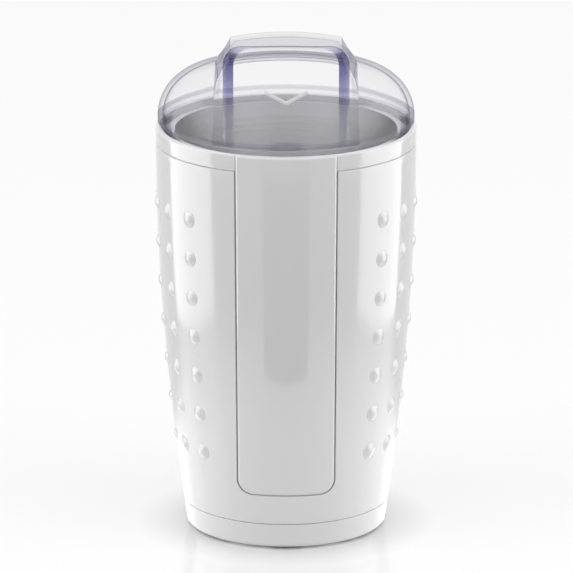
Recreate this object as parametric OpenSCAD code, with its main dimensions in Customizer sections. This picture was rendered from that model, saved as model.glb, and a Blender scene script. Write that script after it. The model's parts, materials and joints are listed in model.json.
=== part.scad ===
// Electric spice grinder with a press-to-run clear lid.
// Millimetres, +Z up, front towards -Y, origin on the axis at the surface it stands on.

/* [Housing] */
// Radius of the housing at its upper seam
body_r = 47.3; // [46:0.1:52]
// Height of the housing between its two seams
body_h = 134.5; // [131:0.5:160]
// Radius of the long curve of the housing's side
side_curve_r = 900; // [800:10:1600]
// Height of the straight taper above the lower seam
straight_h = 21.2; // [10:0.1:40]
// Wall of the housing and its covers
wall = 2.4; // [2.1:0.1:2.6]
// Width and depth of the groove at each seam
seam = 0.3; // [0.2:0.05:0.5]

/* [Grip bumps] */
// Rows of bumps, one above the other
bump_rows = 7; // [3:1:8]
// Columns of bumps on each side
bump_cols = 6; // [2:1:6]
// Height of the lowest row above the lower seam
bump_low = 24.7; // [18:0.1:35]
// Distance between rows
bump_pitch = 14.8; // [12:0.1:15]
// Angle of the first column from the front
bump_angle = 47; // [42:1:55]
// Angle between columns
bump_step = 17.2; // [12:0.1:17.2]
// Diameter of a bump where it leaves the wall
bump_d = 6; // [4:0.1:7]
// Height of a bump above the wall
bump_h = 1.1; // [0.6:0.05:1.4]

/* [Front panel] */
// Width of the front panel
panel_w = 36.3; // [30:0.1:40]
// Height of the panel's lower edge above the lower seam
panel_low = 11.5; // [8:0.1:30]
// Radius of the panel's lower corners
panel_corner_r = 5.4; // [3:0.1:8]
// Thickness of the panel
panel_t = 1.4; // [1.2:0.1:1.5]
// Depth of the recess that the panel sits in
recess_d = 1.2; // [0.8:0.1:1.2]
// Gap around the panel
panel_gap = 0.35; // [0.2:0.05:0.5]
// Width of the panel's stepped edge
panel_edge = 0.5; // [0.3:0.1:0.8]

/* [Collar] */
// Height of the collar
collar_h = 6; // [5.5:0.1:7]
// Wall of the collar outside the lid's channel
collar_wall = 2.1; // [1.9:0.1:2.2]
// Width of the channel that the lid's skirt runs in
channel_w = 2.8; // [2.7:0.1:3]
// Thickness of the channel's floor
channel_floor_t = 2.8; // [2.4:0.1:3]
// Thickness of the ring inside the channel, which carries the bowl
bowl_ring_t = 1.4; // [1.2:0.1:1.6]

/* [Lid] */
// Radius of the lid's outer wall
lid_r = 46.6; // [46:0.1:47.2]
// Height of the dome's top above the collar
dome_h = 23.7; // [20:0.1:30]
// Height of the lid's upright wall above the collar
lid_wall_h = 3.8; // [3:0.1:6]
// Radius of the dome's shoulder
shoulder_r = 16.5; // [12:0.1:18]
// Wall of the lid
lid_wall = 2.2; // [1.8:0.1:2.4]
// Thickness of the lid's skirt
skirt_t = 1.5; // [1.3:0.1:1.7]
// Radial gap between the lid's skirt and the collar
skirt_gap = 0.35; // [0.3:0.05:0.45]
// How far the lid moves down when it is pressed
press_travel = 1.5; // [1:0.1:1.6]

/* [Push block on the lid] */
// Height of the block's top above the collar
block_h = 39.7; // [34:0.1:44]
// Half width of the block at its crowned top
block_half_w = 19.9; // [18:0.1:21]
// Half width of the block at its foot
block_foot_half_w = 25.7; // [24:0.1:26]
// Depth of the block's level top, from the front
block_top_d = 26.5; // [16:0.5:28]
// Distance that the block's rear slope reaches behind the axis
block_rear_y = 8; // [2:0.5:14]
// How far above the dome's top the block's sides turn inwards
block_flare_rise = 2; // [-2:0.1:3]
// Radius of the crown across the block's top
block_crown_r = 104; // [80:1:200]
// Radius of the block's upper corners
block_corner_r = 5; // [3:0.1:6]
// Radius of the block's upper front edge
block_edge_r = 3.5; // [2.6:0.1:4.5]
// Thickness of the two ribs that run down inside the block
block_rib_t = 3.2; // [2:0.1:3.6]
// Distance from the axis plane to the inner face of each rib
block_rib_x = 18.8; // [17:0.1:19]
// How far the ribs reach in from the lid's wall
block_rib_d = 10; // [4:0.5:11]

/* [Base and feet] */
// Height of the base cover
base_h = 8.8; // [8:0.1:12]
// Floor of the base cover
base_floor = 2.5; // [2:0.1:3]
// How far the feet hold the base off the surface
foot_stand = 1; // [0.8:0.1:2]
// Radius of a foot
foot_r = 5; // [4:0.1:5.5]
// Distance of the feet from the axis
foot_ring_r = 28; // [26:0.5:28]
// Depth of the pocket that a foot sits in
foot_pocket = 1.2; // [0.8:0.1:1.4]
// Distance of the base screws from the axis
screw_ring_r = 30.5; // [30:0.1:31]
// Number of air slots in the base
vent_count = 14; // [8:1:16]
// Width of an air slot
vent_w = 2.4; // [1.6:0.1:2.8]

/* [Bowl and blade] */
// Depth of the grinding bowl
bowl_depth = 36; // [32:0.5:37]
// Wall of the bowl
bowl_wall = 0.8; // [0.6:0.05:1]
// Taper of the bowl's side, in mm of radius for each mm of height
bowl_taper = 0.11; // [0.1:0.01:0.2]
// Radius of the round between the bowl's side and its floor
bowl_round_r = 13; // [8:0.5:16]
// Tip-to-tip length of the blade
blade_l = 59; // [50:1:62]
// Width of the blade at its hub
blade_w = 13; // [12:0.5:15]
// Thickness of the blade
blade_t = 1.5; // [1.2:0.1:1.8]
// Bend of the rising wing, in degrees
blade_rise = 22; // [12:1:26]
// Bend of the falling wing, in degrees
blade_fall = 8; // [4:1:9]

/* [Motor] */
// Radius of the motor's shaft
shaft_r = 3; // [2.8:0.1:3.1]
// Radial running clearance of the shaft in its bearings
run_clearance = 0.03; // [0.02:0.01:0.06]
// Height of the lamination stack
stack_h = 28; // [24:0.5:28]
// Width of the stator's laminations
stator_w = 56; // [54:0.5:57]
// Depth of the stator's laminations
stator_d = 46; // [45:0.5:46]
// Radius of the armature
armature_r = 16; // [15:0.1:16]
// Air gap between armature and stator
air_gap = 0.6; // [0.4:0.1:0.7]
// Number of slots in the armature
armature_slots = 12; // [8:1:12]
// Number of commutator bars
commutator_bars = 24; // [12:2:24]
// Number of fan blades
fan_blades = 11; // [7:1:13]
// Radius of the cooling fan
fan_r = 25.5; // [22:0.5:25.5]

/* [Switch and push rod] */
// Width of the micro switch
switch_w = 27.8; // [26:0.1:28]
// Height of the micro switch
switch_h = 15.9; // [15:0.1:16]
// Thickness of the micro switch
switch_t = 10.3; // [9.8:0.1:10.3]
// Width of the push rod
rod_w = 7; // [6:0.1:7.5]
// Thickness of the push rod
rod_t = 1.8; // [1.6:0.1:1.9]
// Wire of the return spring
spring_wire = 0.6; // [0.4:0.05:0.7]
// Outer radius of the return spring
spring_r = 2.1; // [1.9:0.1:2.2]
// Turns of the return spring
spring_turns = 7; // [5:1:8]

/* [Cord inlet] */
// Height of the cord gland above the lower seam
gland_h = 15; // [13:0.5:20]
// Radius of the gland's bore
gland_bore_r = 3.2; // [2.5:0.1:3.5]
// Radius of the gland's neck in the wall
gland_neck_r = 5; // [4.6:0.1:5.4]

/* [Hidden] */
$fn = 72;

cut = 1;              // overlap of a cutting tool past the face it cuts
seat_gap = 0.15;      // gap between round faces that sit in each other
side_steps = 14;      // straight steps that follow the side's curve
arc_steps = 8;        // straight steps in a modelled arc
square_corners = 4;   // corners of a square pattern

// Heights, from the surface up
z_base = foot_stand;
z_body = z_base + base_h;
z_collar = z_body + body_h;
z_rim = z_collar + collar_h;
z_straight = z_body + straight_h;

// Lid channel in the collar
channel_ro = body_r - collar_wall;
channel_ri = channel_ro - channel_w;
bowl_ring_ri = channel_ri - bowl_ring_t;
channel_rise = 1;
z_channel = z_collar + channel_rise;
z_channel_under = z_channel - channel_floor_t;
spigot_t = 1.6;
spigot_h = 3;
shell_mouth_r = body_r - wall;

// Lid
lid_lift_gap = 0.2;
z_lid_wall = z_rim + press_travel + lid_lift_gap;
skirt_floor_gap = 0.3;
z_skirt = z_channel + press_travel + skirt_floor_gap;
skirt_ro = channel_ro - skirt_gap;
skirt_ri = skirt_ro - skirt_t;
z_shoulder = z_rim + lid_wall_h;
z_dome = z_rim + dome_h;
z_block = z_rim + block_h;
lug_h = 2.2;
lug_foot_w = 14.6;
lug_top_w = 8.8;

// Bowl
flange_drop = 2.3;
flange_overhang = 1.6;
z_flange = z_rim - flange_drop;
z_bowl_floor = z_flange - bowl_depth;
bowl_gap = 0.25;
bowl_top_r = bowl_ring_ri - bowl_gap;
flange_r = bowl_top_r + flange_overhang;
boss_hole_r = 5.6;
bowl_boss_r = 9;
bowl_boss_h = 3;

// Carrier deck
gasket_h = 3;
gasket_ri = 14;
gasket_ro = 19;
deck_t = 3;
hub_rise = 5.2;
z_seat = z_bowl_floor - bowl_wall - gasket_h;
z_deck_top = z_seat - hub_rise;
z_deck = z_deck_top - deck_t;
ledge_reach = 8;
ledge_h = 6;
ledge_w = 10;
deck_gap = 0.4;

// Motor, hung below the deck
damper_h = 4;
damper_ro = 4.5;
damper_ri = 2;
plate_t = 3;
coil_room = 10;
z_plate_top = z_deck - damper_h;
z_plate = z_plate_top - plate_t;
z_stack_top = z_plate - coil_room;
z_stack = z_stack_top - stack_h;
lower_post_h = 23;
z_lower_top = z_stack - lower_post_h;
z_lower = z_lower_top - plate_t;
bearing_r = 6.5;
bearing_h = 6;
bearing_lip_h = 1.4;
hub_wall = 2.5;
hub_r = bearing_r + hub_wall;
z_upper_bearing = z_plate_top - bearing_h;
z_lower_bearing = z_lower_top - bearing_h;
fan_h = 9;
fan_gap = 1;
z_fan_top = z_lower_bearing - bearing_lip_h - fan_gap;
z_fan = z_fan_top - fan_h;
shaft_below_fan = 1;
z_shaft = z_fan - shaft_below_fan;
stator_bore_r = armature_r + air_gap;
bolt_x = 23.5;
bolt_y = 17.5;
bolt_r = 1.8;
bolt_gap = 0.1;
shaft_hole_gap = 1.5;
post_r = 3.2;
motor_mounts = [[27, 0], [-27, 0], [0, 20]];
motor_screw_r = 1.6;
coil_ri = 18.5;
coil_ro = 24.5;

// Blade on the shaft's end
blade_above_floor = 6;
z_blade = z_bowl_floor + blade_above_floor;
washer_t = 1;
nut_h = 5;
nut_flats_r = 4.6;
thread_step = 0.5;
thread_r = shaft_r - thread_step;
thread_gap = 0.05;
loose_gap = 0.1;
nut_past_shaft = 1.5;
z_shaft_top = z_blade + blade_t + washer_t + nut_h - nut_past_shaft;

// Push rod, at the front: its head lies under the lid's skirt
rod_wall_gap = 2.2;
rod_front_y = -(shell_mouth_r - rod_wall_gap);
rod_back_y = rod_front_y + rod_t;
head_set_in = 0.7;
head_reach = 0.95;
head_front_y = -(skirt_ro - head_set_in);
head_back_y = -(skirt_ri - head_reach);
head_w = 9;
head_gap = 0.45;
foot_t = 2.5;
stop_h = 3.5;
switch_below_deck = 12;
plunger_proud = 2.2;
plunger_r = 2;
z_switch_top = z_deck - switch_below_deck;
z_rod_foot = z_switch_top + plunger_proud;
spring_gap = 0.3;
spring_y = rod_front_y + spring_r + spring_gap;
spring_l = 16;
z_spring_seat = z_rod_foot - spring_l;
switch_front_y = spring_y + spring_r + spring_gap;
switch_mid_y = switch_front_y + switch_t / 2;
switch_back_y = switch_front_y + switch_t;
switch_screw_x = 11.1;
switch_screw_up = 3;
wing_t = 1.8;

// Radius of the housing's side at a height: a long arc over a straight taper
straight_drop = z_collar - z_straight;
arc_reach = sqrt(side_curve_r * side_curve_r - straight_drop * straight_drop);
straight_r = body_r - side_curve_r + arc_reach;
straight_slope = straight_drop / arc_reach;
function arc_side_r(z) = body_r - side_curve_r + sqrt(pow(side_curve_r, 2) - pow(z_collar - z, 2));
function side_r(z) =
    z >= z_collar ? body_r :
    z >= z_straight ? arc_side_r(z) :
    straight_r - straight_slope * (z_straight - z);

// Heights that the side's outline steps through, the same for every piece that follows it
function side_levels(z0, z1) = [
    z0,
    for (z = [z_straight : (z_collar - z_straight) / side_steps : z_collar]) if (z > z0 && z < z1) z,
    z1
];
function side_points(z0, z1, inset) = [for (z = side_levels(z0, z1)) [side_r(z) - inset, z]];
function arc_points(centre, r, a0, a1, steps = arc_steps) = [
    for (i = [0 : steps]) centre + r * [cos(a0 + (a1 - a0) * i / steps), sin(a0 + (a1 - a0) * i / steps)]
];
function mirrored(points) = [for (i = [len(points) - 1 : -1 : 0]) [-points[i][0], points[i][1]]];

// A solid of revolution that follows the housing's side, drawn in by an inset
module side_solid(z0, z1, inset = 0) {
    rotate_extrude() polygon(concat([[0, z0]], side_points(z0, z1, inset), [[0, z1]]));
}

// An outline drawn in X and Z, pushed through from y0 to y1
module front_prism(y0, y1) {
    translate([0, y1, 0]) rotate([90, 0, 0]) linear_extrude(y1 - y0) children();
}

// An outline drawn in Y and Z, pushed through across the object
module side_prism(half_w) {
    rotate([90, 0, 90]) translate([0, 0, -half_w]) linear_extrude(2 * half_w) children();
}

module ring(r_out, r_in, z0, z1) {
    translate([0, 0, z0]) difference() {
        cylinder(r = r_out, h = z1 - z0);
        translate([0, 0, -cut]) cylinder(r = r_in, h = z1 - z0 + 2 * cut);
    }
}

module rod_z(r, z0, z1) {
    translate([0, 0, z0]) cylinder(r = r, h = z1 - z0, $fn = 32);
}

module around(count, r, first = 0) {
    for (i = [0 : count - 1]) rotate([0, 0, first + i * 360 / count]) translate([r, 0, 0]) children();
}

// The panel's outline: straight sides, round lower corners, open towards the rim
module panel_outline(grow, top) {
    half = panel_w / 2 + grow;
    r = panel_corner_r + grow;
    low = z_body + panel_low - grow;
    corner = arc_points([half - r, low + r], r, -90, 0);
    polygon(concat(mirrored(corner), corner, [[half, top], [-half, top]]));
}

// The slice of the housing's skin that the panel or its recess takes up
module panel_slice(grow, top, inset_out, inset_in) {
    intersection() {
        front_prism(-body_r - cut, -shell_mouth_r / 2) panel_outline(grow, top);
        difference() {
            side_solid(z_body, top, inset_out);
            side_solid(z_body - cut, top + cut, inset_in);
        }
    }
}

module panel_recess() {
    panel_slice(panel_gap, z_rim + cut, -cut, recess_d);
}

// ---- Outer pieces ----

bump_edge = 0.1;
bump_root = 1.6;
bump_cap_h = bump_h - bump_edge;
bump_r = (pow(bump_d / 2, 2) + pow(bump_cap_h, 2)) / (2 * bump_cap_h);

// A low dome on a short root that sinks into the wall
module bump() {
    intersection() {
        translate([0, 0, -bump_root]) cylinder(r = bump_d / 2, h = bump_root + bump_h + cut, $fn = 24);
        translate([0, 0, bump_h - bump_r]) sphere(r = bump_r, $fn = 32);
    }
}

module grip_bumps() {
    for (side = [-1, 1], col = [0 : bump_cols - 1], row = [0 : bump_rows - 1]) {
        z = z_body + bump_low + row * bump_pitch;
        rotate([0, 0, -90 + side * (bump_angle + col * bump_step)])
            translate([side_r(z), 0, z]) rotate([0, 90 + atan((z_collar - z) / side_curve_r), 0]) bump();
    }
}

base_boss_r = 3.6;
base_boss_h = 12;
base_boss_z = z_body + 3.5;
base_screw_angle = 45;
base_pilot_r = 1.4;
base_pilot_h = 10;
gland_z = z_body + gland_h;
gland_pad_r = 8.2;
gland_pad_h = 0.9;
gland_face_y = side_r(gland_z) + gland_pad_h;

// Bosses that the base screws go into, each tied to the wall by a web
module base_bosses() {
    around(square_corners, screw_ring_r, base_screw_angle) {
        rod_z(base_boss_r, base_boss_z, base_boss_z + base_boss_h);
        translate([0, -wall / 2, base_boss_z])
            cube([side_r(z_body) - screw_ring_r - wall / 2, wall, base_boss_h]);
    }
}

// Ledges that carry the deck, each with a sloping gusset below
module deck_ledges() {
    gusset_h = 3 * ledge_h;
    reach = side_r(z_deck) - wall / 2;
    for (a = [0 : 90 : 270]) rotate([0, 0, a + base_screw_angle]) translate([0, ledge_w / 2, 0])
        rotate([90, 0, 0]) linear_extrude(ledge_w) polygon([
            [reach - ledge_reach, z_deck],
            [reach - ledge_reach, z_deck - ledge_h],
            [side_r(z_deck - gusset_h) - wall / 2, z_deck - gusset_h],
            [reach, z_deck]
        ]);
}

// Shelf on the front wall that the return spring stands on
module spring_shelf() {
    shelf_t = 2.5;
    shelf_w = 8;
    shelf_back_y = spring_y + spring_r;
    front = side_r(z_spring_seat - shelf_t) - (wall + recess_d) / 2;
    translate([-shelf_w / 2, -front, z_spring_seat - shelf_t]) cube([shelf_w, front + shelf_back_y, shelf_t]);
}

module gland_pad() {
    pad_in = 4;
    translate([0, gland_face_y - pad_in, gland_z]) rotate([-90, 0, 0]) cylinder(r = gland_pad_r, h = pad_in);
}

module body_shell() {
    color("white") difference() {
        union() {
            difference() {
                union() {
                    side_solid(z_body + seam, z_collar, 0);
                    grip_bumps();
                    gland_pad();
                }
                side_solid(z_body, z_collar + cut, wall);
                panel_recess();
                ring(body_r + cut, body_r - seam, z_collar - seam, z_collar + cut);
            }
            base_bosses();
            deck_ledges();
            spring_shelf();
        }
        around(square_corners, screw_ring_r, base_screw_angle)
            rod_z(base_pilot_r, base_boss_z - cut, base_boss_z + base_pilot_h);
        around(square_corners, carrier_screw_ring, base_screw_angle)
            rod_z(carrier_pilot_r, z_deck - carrier_screw_l, z_deck + cut);
        translate([0, shell_mouth_r / 2, gland_z]) rotate([-90, 0, 0])
            cylinder(r = gland_neck_r + seat_gap, h = body_r);
    }
}

// Slot that the push rod's head and stop pass through
module rod_slot(clear) {
    slot = [head_w, head_back_y - head_front_y, channel_floor_t + spigot_h] + 2 * [clear, clear, cut];
    translate([-slot[0] / 2, head_front_y - clear, z_channel_under - spigot_h - cut]) cube(slot);
}

module collar_ring() {
    edge = 0.4;
    spigot_ro = shell_mouth_r - seat_gap;
    color("white") difference() {
        rotate_extrude() polygon([
            [bowl_ring_ri, z_channel_under],
            [spigot_ro - spigot_t, z_channel_under],
            [spigot_ro - spigot_t, z_channel_under - spigot_h],
            [spigot_ro, z_channel_under - spigot_h],
            [spigot_ro, z_collar],
            [body_r - seam, z_collar],
            [body_r - seam, z_collar + seam],
            [body_r, z_collar + seam],
            [body_r, z_rim - edge],
            [body_r - edge, z_rim],
            [channel_ro, z_rim],
            [channel_ro, z_channel],
            [channel_ri, z_channel],
            [channel_ri, z_flange],
            [bowl_ring_ri, z_flange]
        ]);
        panel_recess();
        rod_slot(head_gap);
        translate([-rod_w / 2 - head_gap, -channel_ro + wall, z_channel_under - spigot_h - cut])
            cube([rod_w + 2 * head_gap, spigot_t + wall, spigot_h + cut]);
    }
}

module front_panel() {
    color("whitesmoke") union() {
        panel_slice(0, z_rim, recess_d - panel_t + panel_edge, recess_d);
        panel_slice(-panel_edge, z_rim - panel_edge, recess_d - panel_t, recess_d);
    }
}

// ---- Base ----

base_post_r = 4.2;
base_head_r = 3;
base_head_h = 2;
base_head_z = z_base + 3;
base_head_gap = 0.4;
base_tip_gap = 1;
base_shank_r = 1.3;
base_hole_r = 1.7;
base_rib_t = 1.6;
vent_in_r = 8;
vent_out_r = 20;

module vent_slot() {
    translate([vent_in_r, -vent_w / 2]) square([vent_out_r - vent_in_r, vent_w]);
    translate([vent_in_r, 0]) circle(r = vent_w / 2, $fn = 24);
    translate([vent_out_r, 0]) circle(r = vent_w / 2, $fn = 24);
}

module base_cover() {
    spigot_ro = side_r(z_body + seam) - wall - seat_gap;
    lip_h = 3;
    lip_ri = spigot_ro - spigot_t;
    foot_edge = 0.6;
    rib_ri = vent_out_r + 3;
    rib_drop = 2;
    sink = 1;
    color("white") difference() {
        union() {
            difference() {
                side_solid(z_base, z_body, 0);
                side_solid(z_base + base_floor, z_body + cut, wall);
                ring(body_r, side_r(z_base) - foot_edge, z_base - cut, z_base + foot_edge);
            }
            ring(spigot_ro, lip_ri, z_base + base_floor - sink, z_body + lip_h);
            around(square_corners, screw_ring_r, base_screw_angle)
                rod_z(base_post_r, z_base + sink, base_boss_z);
            ring(rib_ri + base_rib_t, rib_ri, z_base + sink, z_body - rib_drop);
        }
        around(square_corners, screw_ring_r, base_screw_angle) {
            rod_z(base_hole_r, z_base - cut, base_boss_z + cut);
            rod_z(base_head_r + base_head_gap, z_base - cut, base_head_z);
        }
        around(square_corners, foot_ring_r)
            rod_z(foot_r + seat_gap, z_base - cut, z_base + foot_pocket);
        translate([0, 0, z_base - cut]) linear_extrude(base_floor + 2 * cut)
            for (i = [0 : vent_count - 1]) rotate(i * 360 / vent_count) vent_slot();
    }
}

module rubber_feet() {
    foot_edge = 0.5;
    color("dimgray") around(square_corners, foot_ring_r) rotate_extrude($fn = 36) polygon([
        [0, 0],
        [foot_r - foot_edge, 0],
        [foot_r, foot_edge],
        [foot_r, z_base + foot_pocket],
        [0, z_base + foot_pocket]
    ]);
}

// A round-head screw that points up: head below its seat, shank above
module screw_up(head_r, head_h, shank_r, z_seat_face, z_tip) {
    socket = 1;
    slot_w = 0.8;
    difference() {
        union() {
            rod_z(head_r, z_seat_face - head_h, z_seat_face);
            rod_z(shank_r, z_seat_face - socket / 2, z_tip);
        }
        translate([0, 0, z_seat_face - head_h - cut]) linear_extrude(socket + cut) {
            square([head_r, slot_w], center = true);
            square([slot_w, head_r], center = true);
        }
    }
}

module base_screws() {
    z_tip = base_boss_z + base_pilot_h - base_tip_gap;
    color("silver") around(square_corners, screw_ring_r, base_screw_angle)
        screw_up(base_head_r, base_head_h, base_shank_r, base_head_z, z_tip);
}

module cord_gland() {
    flange_t = 1.6;
    inner_t = 1.4;
    flange_grow = 1.6;
    neck_in = 5.4;
    color("dimgray") translate([0, gland_face_y, gland_z]) rotate([-90, 0, 0]) difference() {
        union() {
            cylinder(r = gland_neck_r + flange_grow, h = flange_t);
            translate([0, 0, -neck_in]) cylinder(r = gland_neck_r, h = neck_in + flange_t);
            translate([0, 0, -neck_in - inner_t]) cylinder(r = gland_neck_r + flange_grow / 2, h = inner_t);
        }
        translate([0, 0, -neck_in - inner_t - cut])
            cylinder(r = gland_bore_r, h = neck_in + inner_t + flange_t + 2 * cut);
    }
}

// ---- Lid ----

// Centre and height of the crown's arc, tangent to the shoulder's arc
function crown_r(shoulder, rise, flat_r) =
    (pow(rise, 2) + pow(flat_r, 2) - pow(shoulder, 2)) / (2 * (rise - shoulder));

// Half of the dome's outline, from the axis at its foot to the axis at its top
function dome_points(inset, z0) =
    let (
        r = lid_r - inset,
        sr = shoulder_r - inset,
        flat_r = r - sr,
        rise = z_dome - inset - z_shoulder,
        cr = crown_r(sr, rise, flat_r),
        zc = z_shoulder + rise - cr,
        join = atan2(z_shoulder - zc, flat_r)
    )
    concat(
        [[0, z0], [r, z0]],
        arc_points([flat_r, z_shoulder], sr, 0, join),
        [for (i = [1 : arc_steps]) [0, zc] + cr * [cos(join + (90 - join) * i / arc_steps),
            sin(join + (90 - join) * i / arc_steps)]]
    );

module dome(inset, z0) {
    rotate_extrude() polygon(dome_points(inset, z0));
}

straight_up = 90;
edge_steps = 4;

// The block seen from the front: flared sides, round corners, crowned top
module block_front(inset, z0) {
    corner_start = 20;
    corner_steps = 6;
    crown_steps = 2;
    half = block_half_w - inset;
    foot = block_foot_half_w - inset;
    top = z_block - inset;
    crown_drop = pow(half - block_corner_r, 2) / (2 * block_crown_r);
    corner_r = block_corner_r - inset / 2;
    corner = [half - corner_r, top - crown_drop - corner_r];
    crown_a = asin((half - corner_r) / block_crown_r);
    right = concat(
        [[foot, z0], [foot, z_dome + block_flare_rise - inset / 2]],
        arc_points(corner, corner_r, corner_start, straight_up - crown_a, corner_steps),
        arc_points([0, top - block_crown_r], block_crown_r, straight_up - crown_a / 2, straight_up, crown_steps)
    );
    polygon(concat(right, mirrored(right)));
}

// The block seen from the side: upright front, level top, slope down to the dome behind
module block_side(inset, z0) {
    rear_top = -lid_r + block_top_d - inset / 2;
    round_r = 4;
    round_steps = 4;
    top = z_block - inset;
    slope = (z_block - z_dome) / (block_rear_y + lid_r - block_top_d);
    run_on = 14;
    foot_y = block_rear_y + run_on - inset;
    polygon(concat(
        [[-lid_r - cut, z0], [-lid_r - cut, top]],
        arc_points([rear_top, top - round_r], round_r, straight_up, straight_up - atan(slope), round_steps),
        [[foot_y, z_dome - inset - slope * run_on], [foot_y, z0]]
    ));
}

// The turned outline that the block keeps to, round at its upper edge
module block_round(inset, z0) {
    r = block_edge_r - inset;
    edge_r = lid_r - inset;
    top = z_block - inset;
    rotate_extrude() polygon(concat(
        [[0, z0], [edge_r, z0]],
        arc_points([edge_r - r, top - r], r, 0, straight_up, edge_steps),
        [[0, top]]
    ));
}

module push_block(inset, z0) {
    intersection() {
        block_round(inset, z0);
        front_prism(-lid_r - cut, lid_r) block_front(inset, z0);
        side_prism(lid_r) block_side(inset, z0);
    }
}

// Two ribs inside the block, from its upper corners down to the lid's edge
module block_ribs() {
    wall_y = sqrt(pow(lid_r - lid_wall, 2) - pow(block_rib_x, 2));
    intersection() {
        push_block(lid_wall / 2, z_lid_wall);
        for (s = [-1, 1]) translate([s * (block_rib_x + block_rib_t / 2) - block_rib_t / 2, -lid_r, z_lid_wall])
            cube([block_rib_t, lid_r - wall_y + block_rib_d, block_h]);
    }
}

// Flange at the lid's foot that joins the skirt to the wall
module lid_flange() {
    flange_ro = max(skirt_ro, lid_r - lid_wall / 2);
    flange_ri = min(skirt_ri, lid_r - lid_wall);
    ring(flange_ro, flange_ri, z_lid_wall, z_lid_wall + lid_wall / 2);
}

// Lug at the front of the skirt that presses the push rod
module lid_lug() {
    intersection() {
        front_prism(-skirt_ro, head_back_y) polygon([
            [-lug_foot_w / 2, z_skirt],
            [lug_foot_w / 2, z_skirt],
            [lug_foot_w / 2, z_lid_wall],
            [lug_top_w / 2, z_lid_wall + lug_h],
            [-lug_top_w / 2, z_lid_wall + lug_h],
            [-lug_foot_w / 2, z_lid_wall]
        ]);
        translate([0, 0, z_skirt]) cylinder(r = skirt_ro, h = lid_wall_h + dome_h);
    }
}

module lid_shell() {
    color("lightblue", 0.4) union() {
        difference() {
            union() {
                dome(0, z_lid_wall);
                push_block(0, z_lid_wall);
            }
            dome(lid_wall, z_lid_wall - cut);
            push_block(lid_wall, z_lid_wall - cut);
        }
        ring(skirt_ro, skirt_ri, z_skirt, z_lid_wall + lid_wall / 2);
        lid_flange();
        block_ribs();
        lid_lug();
    }
}

// ---- Bowl and what seals it ----

function bowl_side_r(z) = bowl_top_r - bowl_taper * (z_flange - z);

// Half of the bowl's outline below its flange; inset gives the inner face
function bowl_points(inset, z_top) =
    let (
        round_r = bowl_round_r - inset,
        floor_z = z_bowl_floor - bowl_wall + inset,
        lean = atan(bowl_taper),
        centre_z = floor_z + round_r,
        centre_r = bowl_side_r(centre_z) - inset - round_r / cos(lean)
    )
    concat(
        [[bowl_top_r - inset + bowl_taper * (z_top - z_flange), z_top]],
        arc_points([centre_r, centre_z], round_r, -lean, -90)
    );

module grinding_bowl() {
    boss_slope = 2;
    outer = bowl_points(0, z_flange);
    inner = bowl_points(bowl_wall, z_flange + bowl_wall);
    under = z_bowl_floor - bowl_wall;
    color("silver") rotate_extrude() polygon(concat(
        [[flange_r, z_flange]],
        outer,
        [
            [bowl_boss_r + boss_slope, under],
            [bowl_boss_r, under + bowl_boss_h],
            [boss_hole_r, under + bowl_boss_h],
            [boss_hole_r, z_bowl_floor + bowl_boss_h],
            [bowl_boss_r + bowl_wall / 2, z_bowl_floor + bowl_boss_h],
            [bowl_boss_r + boss_slope + bowl_wall / 2, z_bowl_floor]
        ],
        [for (i = [len(inner) - 1 : -1 : 0]) inner[i]],
        [[flange_r, z_flange + bowl_wall]]
    ));
}

module bowl_gasket() {
    groove = 0.6;
    groove_half_w = 1;
    z_top = z_bowl_floor - bowl_wall;
    mid = (gasket_ri + gasket_ro) / 2;
    color("dimgray") rotate_extrude() polygon([
        [gasket_ri, z_seat],
        [gasket_ro, z_seat],
        [gasket_ro, z_top],
        [mid + groove_half_w, z_top],
        [mid, z_top - groove],
        [mid - groove_half_w, z_top],
        [gasket_ri, z_top]
    ]);
}

module shaft_seal() {
    under = z_bowl_floor - bowl_wall + bowl_boss_h;
    lip = 2.2;
    clear = 0.3;
    flange_reach = 2;
    lip_t = 0.7;
    lip_rise = 0.6;
    z_foot = under - lip;
    color("dimgray") rotate_extrude() polygon([
        [shaft_r + clear, z_foot],
        [boss_hole_r + flange_reach, z_foot],
        [boss_hole_r + flange_reach, under],
        [boss_hole_r - seat_gap, under],
        [boss_hole_r - seat_gap, under + bowl_wall],
        [shaft_r + clear + lip_t, under + bowl_wall + lip_rise],
        [shaft_r + clear, under + bowl_wall]
    ]);
}

// The blade seen from the side: a level hub, one wing bent up and one bent down
module blade_side() {
    hub = blade_w / 2;
    l = blade_l / 2 - hub;
    up = [l * cos(blade_rise), l * sin(blade_rise)];
    down = [-l * cos(blade_fall), -l * sin(blade_fall)];
    polygon([
        [-hub, 0], [hub, 0],
        [hub, 0] + up, [hub, blade_t] + up,
        [hub, blade_t], [-hub, blade_t],
        [-hub, blade_t] + down, [-hub, 0] + down
    ]);
}

// The blade seen from above: wide at the hub, with raked tips
module blade_plan() {
    tip_half_w = blade_w * 0.31;
    hub_half_l = blade_w * 0.6;
    lead = 1.5;
    bevel = [2, 1];
    half = [
        [hub_half_l, -blade_w / 2],
        [blade_l / 2, -tip_half_w + lead],
        [blade_l / 2, tip_half_w - bevel[1]],
        [blade_l / 2 - bevel[0], tip_half_w],
        [hub_half_l, blade_w / 2]
    ];
    polygon(concat(half, [for (p = half) -p]));
}

module blade() {
    color("silver") translate([0, 0, z_blade]) difference() {
        intersection() {
            front_prism(-blade_w, blade_w) blade_side();
            translate([0, 0, -blade_l]) linear_extrude(2 * blade_l) blade_plan();
        }
        translate([0, 0, -blade_t]) cylinder(r = thread_r + thread_gap, h = 3 * blade_t, $fn = 32);
    }
}

module blade_washer() {
    washer_r = 5.5;
    color("silver") ring(washer_r, thread_r + loose_gap, z_blade + blade_t, z_blade + blade_t + washer_t);
}

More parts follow.
